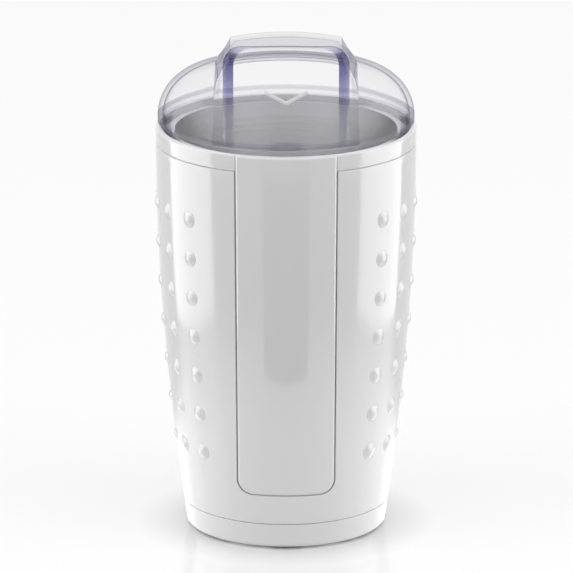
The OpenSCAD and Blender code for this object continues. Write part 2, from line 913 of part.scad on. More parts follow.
module blade_nut() {
    z0 = z_blade + blade_t + washer_t;
    crown_h = 1.6;
    crown_r1 = nut_flats_r - 1;
    crown_top_gap = 0.2;
    color("silver") difference() {
        union() {
            translate([0, 0, z0]) cylinder(r = nut_flats_r, h = nut_h, $fn = 6);
            translate([0, 0, z0 + nut_h])
                cylinder(r1 = crown_r1, r2 = crown_r1 - crown_h, h = crown_h, $fn = 32);
        }
        rod_z(thread_r + loose_gap, z0 - cut, z_shaft_top + crown_top_gap);
    }
}

// ---- Motor ----

module motor_shaft() {
    shoulder_reach = 1.6;
    shoulder_h = 1.4;
    color("silver") union() {
        rod_z(shaft_r, z_shaft, z_blade);
        rod_z(thread_r, z_blade - cut, z_shaft_top);
        ring(shaft_r + shoulder_reach, thread_r, z_blade - shoulder_h, z_blade);
    }
}

module bush(z0) {
    rotate_extrude() intersection() {
        translate([0, z0 + bearing_h / 2]) circle(r = bearing_r);
        translate([shaft_r + run_clearance, z0]) square([bearing_r, bearing_h]);
    }
}

module upper_bearing() {
    color("goldenrod") bush(z_upper_bearing);
}

module lower_bearing() {
    color("goldenrod") bush(z_lower_bearing);
}

module bolt_places() {
    for (x = [-1, 1], y = [-1, 1]) translate([x * bolt_x, y * bolt_y, 0]) children();
}

// Outline of the end plates: a disc with flats front and rear
module plate_outline() {
    plate_r = 32;
    intersection() {
        circle(r = plate_r);
        square([2 * plate_r, stator_d], center = true);
    }
}

module bearing_pocket(z0) {
    rod_z(bearing_r + seat_gap, z0 - cut, z0 + bearing_h + cut);
}

// The lip that holds a bush from below
module bearing_lip(z0) {
    ring(hub_r, shaft_r + shaft_hole_gap, z0 - bearing_lip_h, z0);
}

module upper_bracket() {
    color("lightsteelblue") difference() {
        union() {
            translate([0, 0, z_plate]) linear_extrude(plate_t) plate_outline();
            rod_z(hub_r, z_upper_bearing, z_plate_top);
            bolt_places() rod_z(post_r, z_stack_top, z_plate_top);
            bearing_lip(z_upper_bearing);
        }
        bearing_pocket(z_upper_bearing + cut);
        rod_z(shaft_r + shaft_hole_gap, z_upper_bearing - bearing_lip_h - cut, z_plate_top);
        bolt_places() rod_z(bolt_r + bolt_gap, z_stack_top - cut, z_plate_top + cut);
        for (p = motor_mounts) translate([p[0], p[1], 0])
            rod_z(motor_screw_r + bolt_gap, z_plate - cut, z_plate_top + cut);
    }
}

module lower_bracket() {
    window_r = 3;
    window_gap = 1;
    color("lightsteelblue") difference() {
        union() {
            translate([0, 0, z_lower]) linear_extrude(plate_t) plate_outline();
            rod_z(hub_r, z_lower_bearing, z_lower_top);
            bolt_places() rod_z(post_r, z_lower, z_stack);
            bearing_lip(z_lower_bearing);
        }
        bearing_pocket(z_lower_bearing + cut);
        rod_z(shaft_r + shaft_hole_gap, z_lower_bearing - bearing_lip_h - cut, z_lower_top);
        bolt_places() rod_z(bolt_r + bolt_gap, z_lower - cut, z_stack + cut);
        for (s = [-1, 1]) translate([0, s * (hub_r + window_r + window_gap), z_lower - cut])
            cylinder(r = window_r, h = plate_t + 2 * cut, $fn = 32);
    }
}

// Lamination outline with its bore, four winding windows and bolt holes
module stator_core() {
    window_x = 9;
    window_w = 10.2;
    window_y = 15.6;
    window_h = 4;
    corner = 5;
    w = stator_w / 2;
    d = stator_d / 2;
    color("slategray") translate([0, 0, z_stack]) linear_extrude(stack_h) difference() {
        polygon([
            [w, -d + corner], [w, d - corner], [w - corner, d], [-w + corner, d],
            [-w, d - corner], [-w, -d + corner], [-w + corner, -d], [w - corner, -d]
        ]);
        circle(r = stator_bore_r);
        for (x = [-1, 1], y = [-1, 1]) {
            translate([x * (window_x + window_w / 2), y * (window_y + window_h / 2)])
                square([window_w, window_h], center = true);
            translate([x * bolt_x, y * bolt_y]) circle(r = bolt_r + bolt_gap, $fn = 32);
        }
    }
}

module field_coil() {
    leg_x = 9.3;
    leg_w = 9.6;
    leg_y = 15.9;
    leg_h = 3.4;
    turn_h = 6;
    gap = 0.3;
    for (y = [-1, 1]) translate([leg_x, y * (leg_y + leg_h / 2) - leg_h / 2, z_stack - gap - turn_h / 2])
        cube([leg_w, leg_h, stack_h + 2 * gap + turn_h]);
    for (z = [z_stack - gap - turn_h, z_stack_top + gap]) intersection() {
        ring(coil_ro, coil_ri, z, z + turn_h);
        translate([leg_x, -coil_ro, z]) cube([coil_ro, 2 * coil_ro, turn_h]);
        translate([0, -leg_y - leg_h - 1, z]) cube([coil_ro, 2 * (leg_y + leg_h + 1), turn_h]);
    }
}

module field_coils() {
    color("darkorange") for (a = [0, 180]) rotate([0, 0, a]) field_coil();
}

module stator_bolts() {
    head_r = 3;
    head_h = 2.4;
    color("silver") bolt_places() union() {
        rod_z(head_r, z_lower - head_h, z_lower);
        rod_z(bolt_r, z_lower - cut, z_plate_top);
    }
}

module armature_core() {
    slot_w = 2.6;
    slot_d = 5.5;
    mouth_w = 1.2;
    tooth_t = 1.5;
    color("gray") translate([0, 0, z_stack]) linear_extrude(stack_h) difference() {
        circle(r = armature_r);
        circle(r = shaft_r, $fn = 32);
        for (i = [0 : armature_slots - 1]) rotate(i * 360 / armature_slots) {
            translate([armature_r - tooth_t - slot_d, -slot_w / 2]) square([slot_d, slot_w]);
            translate([armature_r - tooth_t - mouth_w / 2, -mouth_w / 2]) square([tooth_t + mouth_w, mouth_w]);
        }
    }
}

winding_h = 5;

module armature_winding() {
    end_gap = 0.2;
    slot_x = 9.2;
    wire_w = 2;
    wire_d = 4.8;
    end_ri = shaft_r + 1.2;
    end_ro = armature_r - 2.2;
    bevel = 2;
    color("darkorange") union() {
        for (i = [0 : armature_slots - 1]) rotate([0, 0, i * 360 / armature_slots])
            translate([slot_x, -wire_w / 2, z_stack - end_gap - cut])
                cube([wire_d, wire_w, stack_h + 2 * (end_gap + cut)]);
        for (top = [0, 1]) translate([0, 0, z_stack + top * stack_h]) mirror([0, 0, 1 - top])
            rotate_extrude() polygon([
                [end_ri, end_gap],
                [end_ro, end_gap],
                [end_ro, winding_h - bevel],
                [end_ro - bevel, winding_h],
                [end_ri, winding_h]
            ]);
    }
}

commutator_r = 9.5;
commutator_h = 12;
z_commutator = z_lower_top + 3;

module commutator() {
    slit_w = 0.5;
    slit_d = 1;
    color("peru") difference() {
        ring(commutator_r, shaft_r, z_commutator, z_commutator + commutator_h);
        around(commutator_bars, commutator_r - slit_d)
            translate([0, -slit_w / 2, z_commutator - cut])
                cube([slit_d + cut, slit_w, commutator_h + 2 * cut]);
    }
}

brush_w = 6;
brush_h = 7;
brush_l = 9;
brush_gap = 0.2;
holder_wall = 1.2;
holder_l = 16;
brush_z = z_commutator + commutator_h / 2;
holder_x = commutator_r + 2.5;

module each_brush() {
    for (a = [0, 180]) rotate([0, 0, a]) children();
}

// Brush tubes on a pedestal that stands on the lower end plate
module brush_holders() {
    w = brush_w + 2 * (brush_gap + holder_wall);
    h = brush_h + 2 * (brush_gap + holder_wall);
    foot_in = 3;
    foot_l = holder_l - 5;
    color("saddlebrown") each_brush() difference() {
        union() {
            translate([holder_x, -w / 2, brush_z - h / 2]) cube([holder_l, w, h]);
            translate([holder_x + foot_in, -w / 2, z_lower_top]) cube([foot_l, w, brush_z - z_lower_top]);
        }
        translate([holder_x - cut, -brush_w / 2 - brush_gap, brush_z - brush_h / 2 - brush_gap])
            cube([holder_l - holder_wall + cut, brush_w + 2 * brush_gap, brush_h + 2 * brush_gap]);
    }
}

brush_tip = commutator_r + brush_gap;
brush_spring_r = 2.4;
brush_wire = 0.6;

module carbon_brushes() {
    color("darkslategray") each_brush()
        translate([brush_tip, -brush_w / 2, brush_z - brush_h / 2]) cube([brush_l, brush_w, brush_h]);
}

// One unbroken coil of wire: straight ends, then a helix that a formula gives
function coil_path(turns, r, l, wire, rings) = concat(
    [[r, 0, 0]],
    [for (i = [0 : turns * rings])
        [r * cos(360 * i / rings), r * sin(360 * i / rings), wire + (l - 2 * wire) * i / (turns * rings)]],
    [[r, 0, l]]
);
wire_sides = 6;
coil_lean = 8;

module coil_spring(turns, outer_r, l, wire) {
    rings = 8;
    r = outer_r - wire / 2;
    path = coil_path(turns, r, l, wire, rings);
    n = len(path);
    points = [for (i = [0 : n - 1], k = [0 : wire_sides - 1])
        let (
            turn = (i == 0 || i == n - 1) ? 0 : 360 * (i - 1) / rings,
            lean = (i == 0 || i == n - 1) ? 90 : (i == 1 || i == n - 2) ? 45 : coil_lean,
            out = [cos(turn), sin(turn), 0],
            lift = [-sin(turn) * sin(lean), cos(turn) * sin(lean), -cos(lean)],
            a = 360 * k / wire_sides
        )
        path[i] + wire / 2 * (cos(a) * out + sin(a) * lift)];
    sides = [for (i = [0 : n - 2], k = [0 : wire_sides - 1])
        let (a = i * wire_sides + k, b = i * wire_sides + (k + 1) % wire_sides)
        each [[a, b, b + wire_sides], [a, b + wire_sides, a + wire_sides]]];
    foot = [for (k = [1 : wire_sides - 2]) [0, k + 1, k]];
    last = (n - 1) * wire_sides;
    head = [for (k = [1 : wire_sides - 2]) [last, last + k, last + k + 1]];
    faces = concat(sides, foot, head);
    polyhedron(points = points, faces = [for (f = faces) [f[0], f[2], f[1]]]);
}

module brush_springs() {
    turns = 4;
    free = holder_x + holder_l - holder_wall - brush_tip - brush_l;
    color("silver") each_brush() translate([brush_tip + brush_l, 0, brush_z]) rotate([0, 90, 0])
        coil_spring(turns, brush_spring_r, free, brush_wire);
}

module cooling_fan() {
    disc_t = 1.6;
    hub_ro = 7;
    blade_thick = 1.4;
    blade_lean = 25;
    in_r = 12;
    tip_gap = 0.5;
    color("ivory") union() {
        ring(hub_ro, shaft_r, z_fan, z_fan_top);
        ring(fan_r, shaft_r, z_fan_top - disc_t, z_fan_top);
        for (i = [0 : fan_blades - 1]) rotate([0, 0, i * 360 / fan_blades]) intersection() {
            translate([in_r, 0, z_fan]) rotate([0, 0, blade_lean])
                translate([0, -blade_thick / 2, 0]) cube([fan_r, blade_thick, fan_h - disc_t / 2]);
            rod_z(fan_r - tip_gap, z_fan, z_fan_top);
        }
    }
}

// ---- Deck that carries bowl, motor and switch ----

carrier_screw_edge = 3.2;
carrier_screw_ring = side_r(z_deck) - wall - deck_gap - carrier_screw_edge;
carrier_screw_l = 9;
carrier_pilot_r = 1.2;
carrier_hole_r = 1.6;
carrier_head_r = 2.8;
motor_head_r = 3.2;
thread_play = 0.05;
screw_end_gap = 1;

module bowl_carrier() {
    deck_r = side_r(z_deck) - wall - deck_gap;
    hub_in = hub_r + 1;
    rim_t = 2;
    rim_h = 8;
    rib_t = 1.8;
    rib_step = 45;
    seat_rim = 1.5;
    head_room = 0.6;
    rod_room = 0.6;
    color("gainsboro") difference() {
        union() {
            rod_z_fine(deck_r, z_deck, z_deck_top);
            ring(gasket_ro + seat_rim, gasket_ri - seat_rim, z_deck, z_seat);
            ring(deck_r, deck_r - rim_t, z_deck, z_deck + rim_h);
            for (a = [rib_step / 2 : rib_step : 360]) rotate([0, 0, a])
                translate([gasket_ro, -rib_t / 2, z_deck])
                    cube([deck_r - gasket_ro - rim_t / 2, rib_t, hub_rise]);
            translate([-switch_w / 2 - 1, switch_back_y, z_switch_top - switch_h])
                cube([switch_w + 2, wing_t, z_deck + 1 - z_switch_top + switch_h]);
        }
        rod_z(hub_in, z_deck - cut, z_seat + cut);
        for (p = motor_mounts) translate([p[0], p[1], 0]) {
            rod_z(motor_screw_r + bolt_gap, z_deck - cut, z_seat + cut);
            rod_z(damper_ro, z_deck_top, z_seat + cut);
        }
        around(square_corners, carrier_screw_ring, base_screw_angle)
            rod_z(carrier_hole_r, z_deck - cut, z_deck_top + rim_h);
        around(square_corners, carrier_screw_ring, base_screw_angle)
            rod_z(carrier_head_r + head_room, z_deck_top, z_deck_top + rim_h);
        translate([-rod_w, -body_r, z_deck - cut])
            cube([2 * rod_w, body_r + rod_back_y + rod_room, rim_h + 3 * cut]);
        switch_screw_places(switch_back_y - cut) cylinder(r = switch_screw_r, h = wing_t + 2 * cut, $fn = 32);
    }
}

// Where the two screws of the switch run, pointing back from y
module switch_screw_places(y) {
    for (s = [-1, 1]) translate([s * switch_screw_x, y, z_switch_top - switch_h + switch_screw_up])
        rotate([-90, 0, 0]) children();
}

module rod_z_fine(r, z0, z1) {
    translate([0, 0, z0]) cylinder(r = r, h = z1 - z0);
}

module screw_down(head_r, head_h, shank_r, z_seat_face, z_tip) {
    translate([0, 0, z_seat_face]) mirror([0, 0, 1]) translate([0, 0, -z_seat_face])
        screw_up(head_r, head_h, shank_r, z_seat_face, 2 * z_seat_face - z_tip);
}

module carrier_screws() {
    z_tip = z_deck - carrier_screw_l + screw_end_gap;
    color("silver") around(square_corners, carrier_screw_ring, base_screw_angle)
        screw_down(carrier_head_r, 1.8, carrier_pilot_r - thread_play, z_deck_top, z_tip);
}

module motor_dampers() {
    color("dimgray") for (p = motor_mounts) translate([p[0], p[1], 0])
        ring(damper_ro, damper_ri, z_plate_top, z_deck);
}

module motor_screws() {
    color("silver") for (p = motor_mounts) translate([p[0], p[1], 0])
        screw_down(motor_head_r, 2, motor_screw_r, z_deck_top, z_plate - screw_end_gap);
}

// ---- Lid actuator and switch ----

module push_rod() {
    pin_r = 0.9;
    pin_l = 3;
    foot_past = 1;
    foot_back_y = switch_mid_y + plunger_r + foot_past;
    color("whitesmoke") union() {
        translate([-head_w / 2, head_front_y, z_channel_under - stop_h])
            cube([head_w, head_back_y - head_front_y, z_skirt - z_channel_under + stop_h]);
        translate([-rod_w / 2, head_front_y, z_channel_under - stop_h])
            cube([rod_w, rod_back_y - head_front_y, stop_h]);
        translate([-rod_w / 2, rod_front_y, z_rod_foot])
            cube([rod_w, rod_t, z_channel_under - z_rod_foot]);
        translate([-rod_w / 2, rod_front_y, z_rod_foot])
            cube([rod_w, foot_back_y - rod_front_y, foot_t]);
        translate([0, spring_y, 0]) rod_z(pin_r, z_rod_foot - pin_l, z_rod_foot + cut);
    }
}

module return_spring() {
    echo(least_gap = spring_l / spring_turns - spring_wire);
    color("silver") translate([0, spring_y, z_spring_seat])
        coil_spring(spring_turns, spring_r, spring_l, spring_wire);
}

switch_screw_r = 1.3;
switch_hole_gap = 0.2;
plunger_pocket = 6;
plunger_side_gap = 0.06;
plunger_end_gap = 0.4;

module micro_switch() {
    terminal_w = 6.3;
    terminal_t = 0.8;
    terminal_l = 6;
    terminal_pitch = 9;
    z_case = z_switch_top - switch_h;
    color("black") difference() {
        union() {
            translate([-switch_w / 2, switch_front_y, z_case]) cube([switch_w, switch_t, switch_h]);
            for (i = [-1 : 1])
                translate([i * terminal_pitch - terminal_w / 2, switch_mid_y, z_case - terminal_l])
                    cube([terminal_w, terminal_t, terminal_l + cut]);
        }
        translate([0, switch_mid_y, 0])
            rod_z(plunger_r + plunger_side_gap, z_switch_top - plunger_pocket, z_switch_top + cut);
        switch_screw_places(switch_front_y - cut)
            cylinder(r = switch_screw_r + switch_hole_gap, h = switch_t + 2 * cut, $fn = 32);
    }
}

module switch_plunger() {
    color("red") translate([0, switch_mid_y, 0])
        rod_z(plunger_r, z_switch_top - plunger_pocket + press_travel + plunger_end_gap, z_rod_foot);
}

module switch_screws() {
    head_r = 2.6;
    head_t = 1.6;
    color("silver") switch_screw_places(switch_front_y - head_t) {
        cylinder(r = head_r, h = head_t, $fn = 32);
        cylinder(r = switch_screw_r - thread_play, h = head_t + switch_t + wing_t, $fn = 32);
    }
}

body_shell();
collar_ring();
front_panel();
base_cover();
rubber_feet();
base_screws();
lid_shell();
grinding_bowl();
bowl_gasket();
shaft_seal();
blade();
blade_washer();
blade_nut();
motor_shaft();
upper_bearing();
lower_bearing();
upper_bracket();
lower_bracket();
stator_core();
field_coils();
stator_bolts();
armature_core();
armature_winding();
commutator();
brush_holders();
carbon_brushes();
brush_springs();
cooling_fan();
bowl_carrier();
carrier_screws();
motor_dampers();
motor_screws();
push_rod();
return_spring();
micro_switch();
switch_plunger();
switch_screws();
cord_gland();
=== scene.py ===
"""Electric spice grinder: the finish of every surface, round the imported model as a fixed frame."""
import json
import math

import bmesh
import bpy
import numpy as np
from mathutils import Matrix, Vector

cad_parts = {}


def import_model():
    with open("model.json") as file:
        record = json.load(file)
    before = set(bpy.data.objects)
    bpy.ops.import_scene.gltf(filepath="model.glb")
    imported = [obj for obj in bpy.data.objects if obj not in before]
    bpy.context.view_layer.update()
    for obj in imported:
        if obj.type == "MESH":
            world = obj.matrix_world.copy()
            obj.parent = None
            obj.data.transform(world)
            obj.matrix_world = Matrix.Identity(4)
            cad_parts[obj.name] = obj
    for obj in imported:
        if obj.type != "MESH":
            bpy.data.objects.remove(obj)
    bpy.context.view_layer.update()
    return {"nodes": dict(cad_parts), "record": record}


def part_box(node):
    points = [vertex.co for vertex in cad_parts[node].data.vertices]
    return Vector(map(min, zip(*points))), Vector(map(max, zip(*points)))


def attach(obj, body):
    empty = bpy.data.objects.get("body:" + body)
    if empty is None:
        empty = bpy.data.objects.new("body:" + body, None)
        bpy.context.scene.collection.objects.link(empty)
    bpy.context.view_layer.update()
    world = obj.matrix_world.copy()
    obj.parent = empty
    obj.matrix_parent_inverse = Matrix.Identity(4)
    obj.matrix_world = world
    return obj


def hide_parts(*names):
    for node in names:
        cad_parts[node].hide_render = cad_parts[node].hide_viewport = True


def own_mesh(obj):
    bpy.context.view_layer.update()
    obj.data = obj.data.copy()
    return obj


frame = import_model()
MM = 0.001


# ---- Sizes, in millimetres, from the frame where it gives them ----

def node_box(name):
    """A CAD node's lowest and highest corner."""
    low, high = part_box(name)
    return np.array(low) / MM, np.array(high) / MM


SEAM = 0.3

BASE_Z = node_box("base_cover")[0][2]
BODY_Z = node_box("body_shell")[0][2] - SEAM
COLLAR_Z = node_box("body_shell")[1][2]
RIM_Z = node_box("collar_ring")[1][2]
BLOCK_Z = node_box("lid_shell")[1][2]
SKIRT_Z = node_box("lid_shell")[0][2]
BODY_R = node_box("collar_ring")[1][0]
LID_R = -node_box("lid_shell")[0][1]

SIDE_CURVE_R = 900
STRAIGHT_H = 21.2
WALL = 2.4
EDGE_R = 0.28

BUMP_ROWS, BUMP_COLS = 7, 6
BUMP_LOW, BUMP_PITCH = 24.7, 14.8
BUMP_ANGLE, BUMP_STEP = 48, 17.2
BUMP_R, BUMP_H = 2.5, 1.0
BUMP_ROOT = -0.4
BUMP_BLEND = 0.65
BUMP_FOOT = ((0.0, 0.14), (0.4, 0.04), (1.0, -0.02))

PANEL_HALF = 18.15
PANEL_LOW = 11.5
PANEL_CORNER_R = 5.4
PANEL_PROUD = 0.2
PANEL_EDGE_R = 0.8
PANEL_GAP = 0.35
RECESS_D = 1.2
PANEL_DRAW_IN = 0.04
PANEL_FIELD = (19.0, 25.0)

DOME_H = 23.7
LID_WALL_H = 3.8
SHOULDER_R = 16.5
LID_WALL = 2.2
LID_BOTTOM_Z = RIM_Z + 1.7
SKIRT_GAP = 0.35
CHANNEL_RO = BODY_R - 2.1
CHANNEL_W = 2.8
SKIRT_RO = CHANNEL_RO - SKIRT_GAP
SKIRT_RI = SKIRT_RO - 1.5


# ---- Mesh helpers ----

def place(name, data):
    """A new object in the scene."""
    piece = bpy.data.objects.new(name, data)
    bpy.context.scene.collection.objects.link(piece)
    return piece


def smooth(mesh):
    """Shades every face smoothly."""
    mesh.polygons.foreach_set("use_smooth", [True] * len(mesh.polygons))


def mesh_object(name, verts, faces, body, material, replaces=()):
    """A smooth-shaded piece from points in millimetres."""
    mesh = bpy.data.meshes.new(name)
    mesh.from_pydata([tuple(v) for v in np.asarray(verts) * MM], [], [tuple(f) for f in faces])
    whole = bmesh.new()
    whole.from_mesh(mesh)
    bmesh.ops.recalc_face_normals(whole, faces=whole.faces)
    whole.to_mesh(mesh)
    whole.free()
    smooth(mesh)
    piece = place(name, mesh)
    mesh.materials.append(material)
    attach(piece, body)
    if replaces:
        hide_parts(*replaces)


def weld(mesh, reach):
    """Joins points closer than reach, in millimetres, and drops the slivers that leaves."""
    whole = bmesh.new()
    whole.from_mesh(mesh)
    bmesh.ops.remove_doubles(whole, verts=whole.verts, dist=reach * MM)
    bmesh.ops.dissolve_degenerate(whole, dist=reach * MM, edges=whole.edges)
    whole.to_mesh(mesh)
    whole.free()


def grid_faces(rows, cols, start=0, wrap_cols=False, wrap_rows=False, flip=False):
    """Quads over a grid of rows by cols points that begins at index start."""
    faces = []
    for i in range(rows if wrap_rows else rows - 1):
        for j in range(cols if wrap_cols else cols - 1):
            a = start + i * cols + j
            b = start + i * cols + (j + 1) % cols
            c = start + ((i + 1) % rows) * cols + (j + 1) % cols
            d = start + ((i + 1) % rows) * cols + j
            faces.append((a, d, c, b) if flip else (a, b, c, d))
    return faces


def add(verts, points):
    """Adds the points and gives their numbers."""
    start = len(verts)
    verts += points
    return list(range(start, len(verts)))


def strip(faces, upper_ids, lower_ids, closed=False, flip=False):
    """Quads between two rows of point numbers."""
    count = len(upper_ids)
    for j in range(count if closed else count - 1):
        k = (j + 1) % count
        quad = (upper_ids[j], lower_ids[j], lower_ids[k], upper_ids[k])
        faces.append(quad[::-1] if flip else quad)


def revolve(profile, count):
    """Points and faces of a closed outline of (radius, height), turned round the axis."""
    angles = np.linspace(0, 2 * math.pi, count, endpoint=False)
    verts = [(r * math.cos(a), r * math.sin(a), z) for a in angles for r, z in profile]
    return verts, grid_faces(count, len(profile), wrap_cols=True, wrap_rows=True)


def arc(centre, radius, start, end, steps):
    """Points on an arc, from one angle in degrees to another, both ends included."""
    angles = np.radians(np.linspace(start, end, steps + 1))
    return [(centre[0] + radius * math.cos(a), centre[1] + radius * math.sin(a)) for a in angles]


def side_r(z):
    """The housing's radius at a height: a long arc over a straight taper."""
    straight_z = BODY_Z + STRAIGHT_H
    drop = COLLAR_Z - straight_z
    reach = math.sqrt(SIDE_CURVE_R ** 2 - drop ** 2)
    if z >= COLLAR_Z:
        return BODY_R
    if z >= straight_z:
        return BODY_R - SIDE_CURVE_R + math.sqrt(SIDE_CURVE_R ** 2 - (COLLAR_Z - z) ** 2)
    return BODY_R - SIDE_CURVE_R + reach - drop / reach * (straight_z - z)


def skin(x, z, inset):
    """The point on the front of the housing's side for that x and height.

    The panel and its recess draw in a little towards their foot, and the field round them follows.
    """
    down = min(max((COLLAR_Z - z) / (COLLAR_Z - BODY_Z - PANEL_LOW), 0), 1)
    near, far = PANEL_FIELD
    field = min(max((far - abs(x)) / (far - near), 0), 1)
    x *= 1 - PANEL_DRAW_IN * down * field * field * (3 - 2 * field)
    r = side_r(z) - inset
    return x, -math.sqrt(r * r - x * x), z


# ---- Materials ----

def new_material(name):
    """A material with its nodes, links and main shader."""
    material = bpy.data.materials.new(name)
    material.use_nodes = True
    nodes = material.node_tree.nodes
    return material, nodes, material.node_tree.links, nodes["Principled BSDF"]


def noise(nodes, links, scale, detail=3.0, stretch=(1, 1, 1)):
    """A noise over the object's own coordinates, which are its place in the row frame."""
    coords = nodes.new("ShaderNodeTexCoord")
    mapping = nodes.new("ShaderNodeMapping")
    mapping.inputs["Scale"].default_value = stretch
    texture = nodes.new("ShaderNodeTexNoise")
    texture.inputs["Scale"].default_value = scale
    texture.inputs["Detail"].default_value = detail
    links.new(coords.outputs["Object"], mapping.inputs["Vector"])
    links.new(mapping.outputs["Vector"], texture.inputs["Vector"])
    return texture.outputs["Fac"]


def spread(nodes, links, source, low, high):
    """The noise's middle range spread over low to high."""
    remap = nodes.new("ShaderNodeMapRange")
    remap.inputs["From Min"].default_value = 0.3
    remap.inputs["From Max"].default_value = 0.7
    remap.inputs["To Min"].default_value = low
    remap.inputs["To Max"].default_value = high
    links.new(source, remap.inputs["Value"])
    return remap.outputs["Result"]


def math_node(nodes, links, operation, first, second):
    """A Math node of two values, each a socket or a number."""
    node = nodes.new("ShaderNodeMath")
    node.operation = operation
    for slot, value in enumerate((first, second)):
        if isinstance(value, (int, float)):
            node.inputs[slot].default_value = value
        else:
            links.new(value, node.inputs[slot])
    return node.outputs["Value"]


def smooth_range(nodes, links, value, start, end, low, high):
    """Low up to start and high from end on, with an S-shaped way between them."""
    remap = nodes.new("ShaderNodeMapRange")
    remap.interpolation_type = "SMOOTHSTEP"
    remap.inputs["From Min"].default_value = start
    remap.inputs["From Max"].default_value = end
    remap.inputs["To Min"].default_value = low
    remap.inputs["To Max"].default_value = high
    links.new(value, remap.inputs["Value"])
    return remap.outputs["Result"]


def radius(nodes, links, split):
    """The distance from the object's axis, from a Separate XYZ node."""
    flat = nodes.new("ShaderNodeCombineXYZ")
    links.new(split.outputs["X"], flat.inputs["X"])
    links.new(split.outputs["Y"], flat.inputs["Y"])
    length = nodes.new("ShaderNodeVectorMath")
    length.operation = "LENGTH"
    links.new(flat.outputs["Vector"], length.inputs[0])
    return length.outputs["Value"]


def split_coords(nodes, links):
    """The object's own coordinates, apart."""
    coords = nodes.new("ShaderNodeTexCoord")
    split = nodes.new("ShaderNodeSeparateXYZ")
    links.new(coords.outputs["Object"], split.inputs["Vector"])
    return split


def mix_with_clear(nodes, links, factor, shader):
    """Sends the shader to the output, and as much of a clear surface as the factor says."""
    through = nodes.new("ShaderNodeBsdfTransparent")
    mix = nodes.new("ShaderNodeMixShader")
    links.new(factor, mix.inputs[0])
    links.new(shader.outputs["BSDF"], mix.inputs[1])
    links.new(through.outputs["BSDF"], mix.inputs[2])
    links.new(mix.outputs["Shader"], nodes["Material Output"].inputs["Surface"])


def tint(nodes, links, source, dark, light):
    """A colour from dark to light as the source goes from 0 to 1."""
    mix = nodes.new("ShaderNodeMix")
    mix.data_type = "RGBA"
    mix.inputs["A"].default_value = (*dark, 1)
    mix.inputs["B"].default_value = (*light, 1)
    links.new(source, mix.inputs["Factor"])
    return mix.outputs["Result"]


def bump(nodes, links, source, shader, strength, distance):
    """Relief of that distance, in metres, on the shader's normal."""
    node = nodes.new("ShaderNodeBump")
    node.inputs["Strength"].default_value = strength
    node.inputs["Distance"].default_value = distance
    links.new(source, node.inputs["Height"])
    links.new(node.outputs["Normal"], shader.inputs["Normal"])


FLOW_SCALE, GLOSS_SCALE = 35, 90


def moulded(name, color, roughness, swing=0.03, grain=900, depth=2e-6, specular=0.5):
    """Moulded plastic or rubber: a faint flow pattern, handled gloss and a fine skin."""
    material, nodes, links, shader = new_material(name)
    flow = noise(nodes, links, FLOW_SCALE)
    dark = tuple(c * (1 - swing / 2) for c in color)
    links.new(tint(nodes, links, flow, dark, color), shader.inputs["Base Color"])
    gloss = noise(nodes, links, GLOSS_SCALE, 5)
    links.new(spread(nodes, links, gloss, roughness * 0.85, roughness * 1.15), shader.inputs["Roughness"])
    bump(nodes, links, noise(nodes, links, grain, 2), shader, 0.3, depth)
    shader.inputs["Specular IOR Level"].default_value = specular
    return material


def metal(name, color, roughness, stretch=(1, 1, 1), scale=400, swing=0.12):
    """Worked metal: marks along one direction, in colour, gloss and relief."""
    material, nodes, links, shader = new_material(name)
    marks = noise(nodes, links, scale, 4, stretch)
    dark = tuple(c * (1 - swing) for c in color)
    links.new(tint(nodes, links, marks, dark, color), shader.inputs["Base Color"])
    links.new(spread(nodes, links, marks, roughness * 0.75, roughness * 1.25), shader.inputs["Roughness"])
    bump(nodes, links, marks, shader, 0.25, 1e-5)
    shader.inputs["Metallic"].default_value = 1.0
    return material


def spun_steel(name, color, roughness):
    """Steel spun on a lathe: fine rings round the axis."""
    material, nodes, links, shader = new_material(name)
    split = split_coords(nodes, links)
    rings = nodes.new("ShaderNodeCombineXYZ")
    links.new(radius(nodes, links, split), rings.inputs["X"])
    links.new(split.outputs["Z"], rings.inputs["Y"])
    texture = nodes.new("ShaderNodeTexNoise")
    texture.inputs["Scale"].default_value = 1400
    texture.inputs["Detail"].default_value = 3
    links.new(rings.outputs["Vector"], texture.inputs["Vector"])
    dark = tuple(c * 0.9 for c in color)
    links.new(tint(nodes, links, texture.outputs["Fac"], dark, color), shader.inputs["Base Color"])
    links.new(spread(nodes, links, texture.outputs["Fac"], roughness * 0.8, roughness * 1.2),
              shader.inputs["Roughness"])
    bump(nodes, links, texture.outputs["Fac"], shader, 0.15, 1e-5)
    shader.inputs["Metallic"].default_value = 1.0
    return material


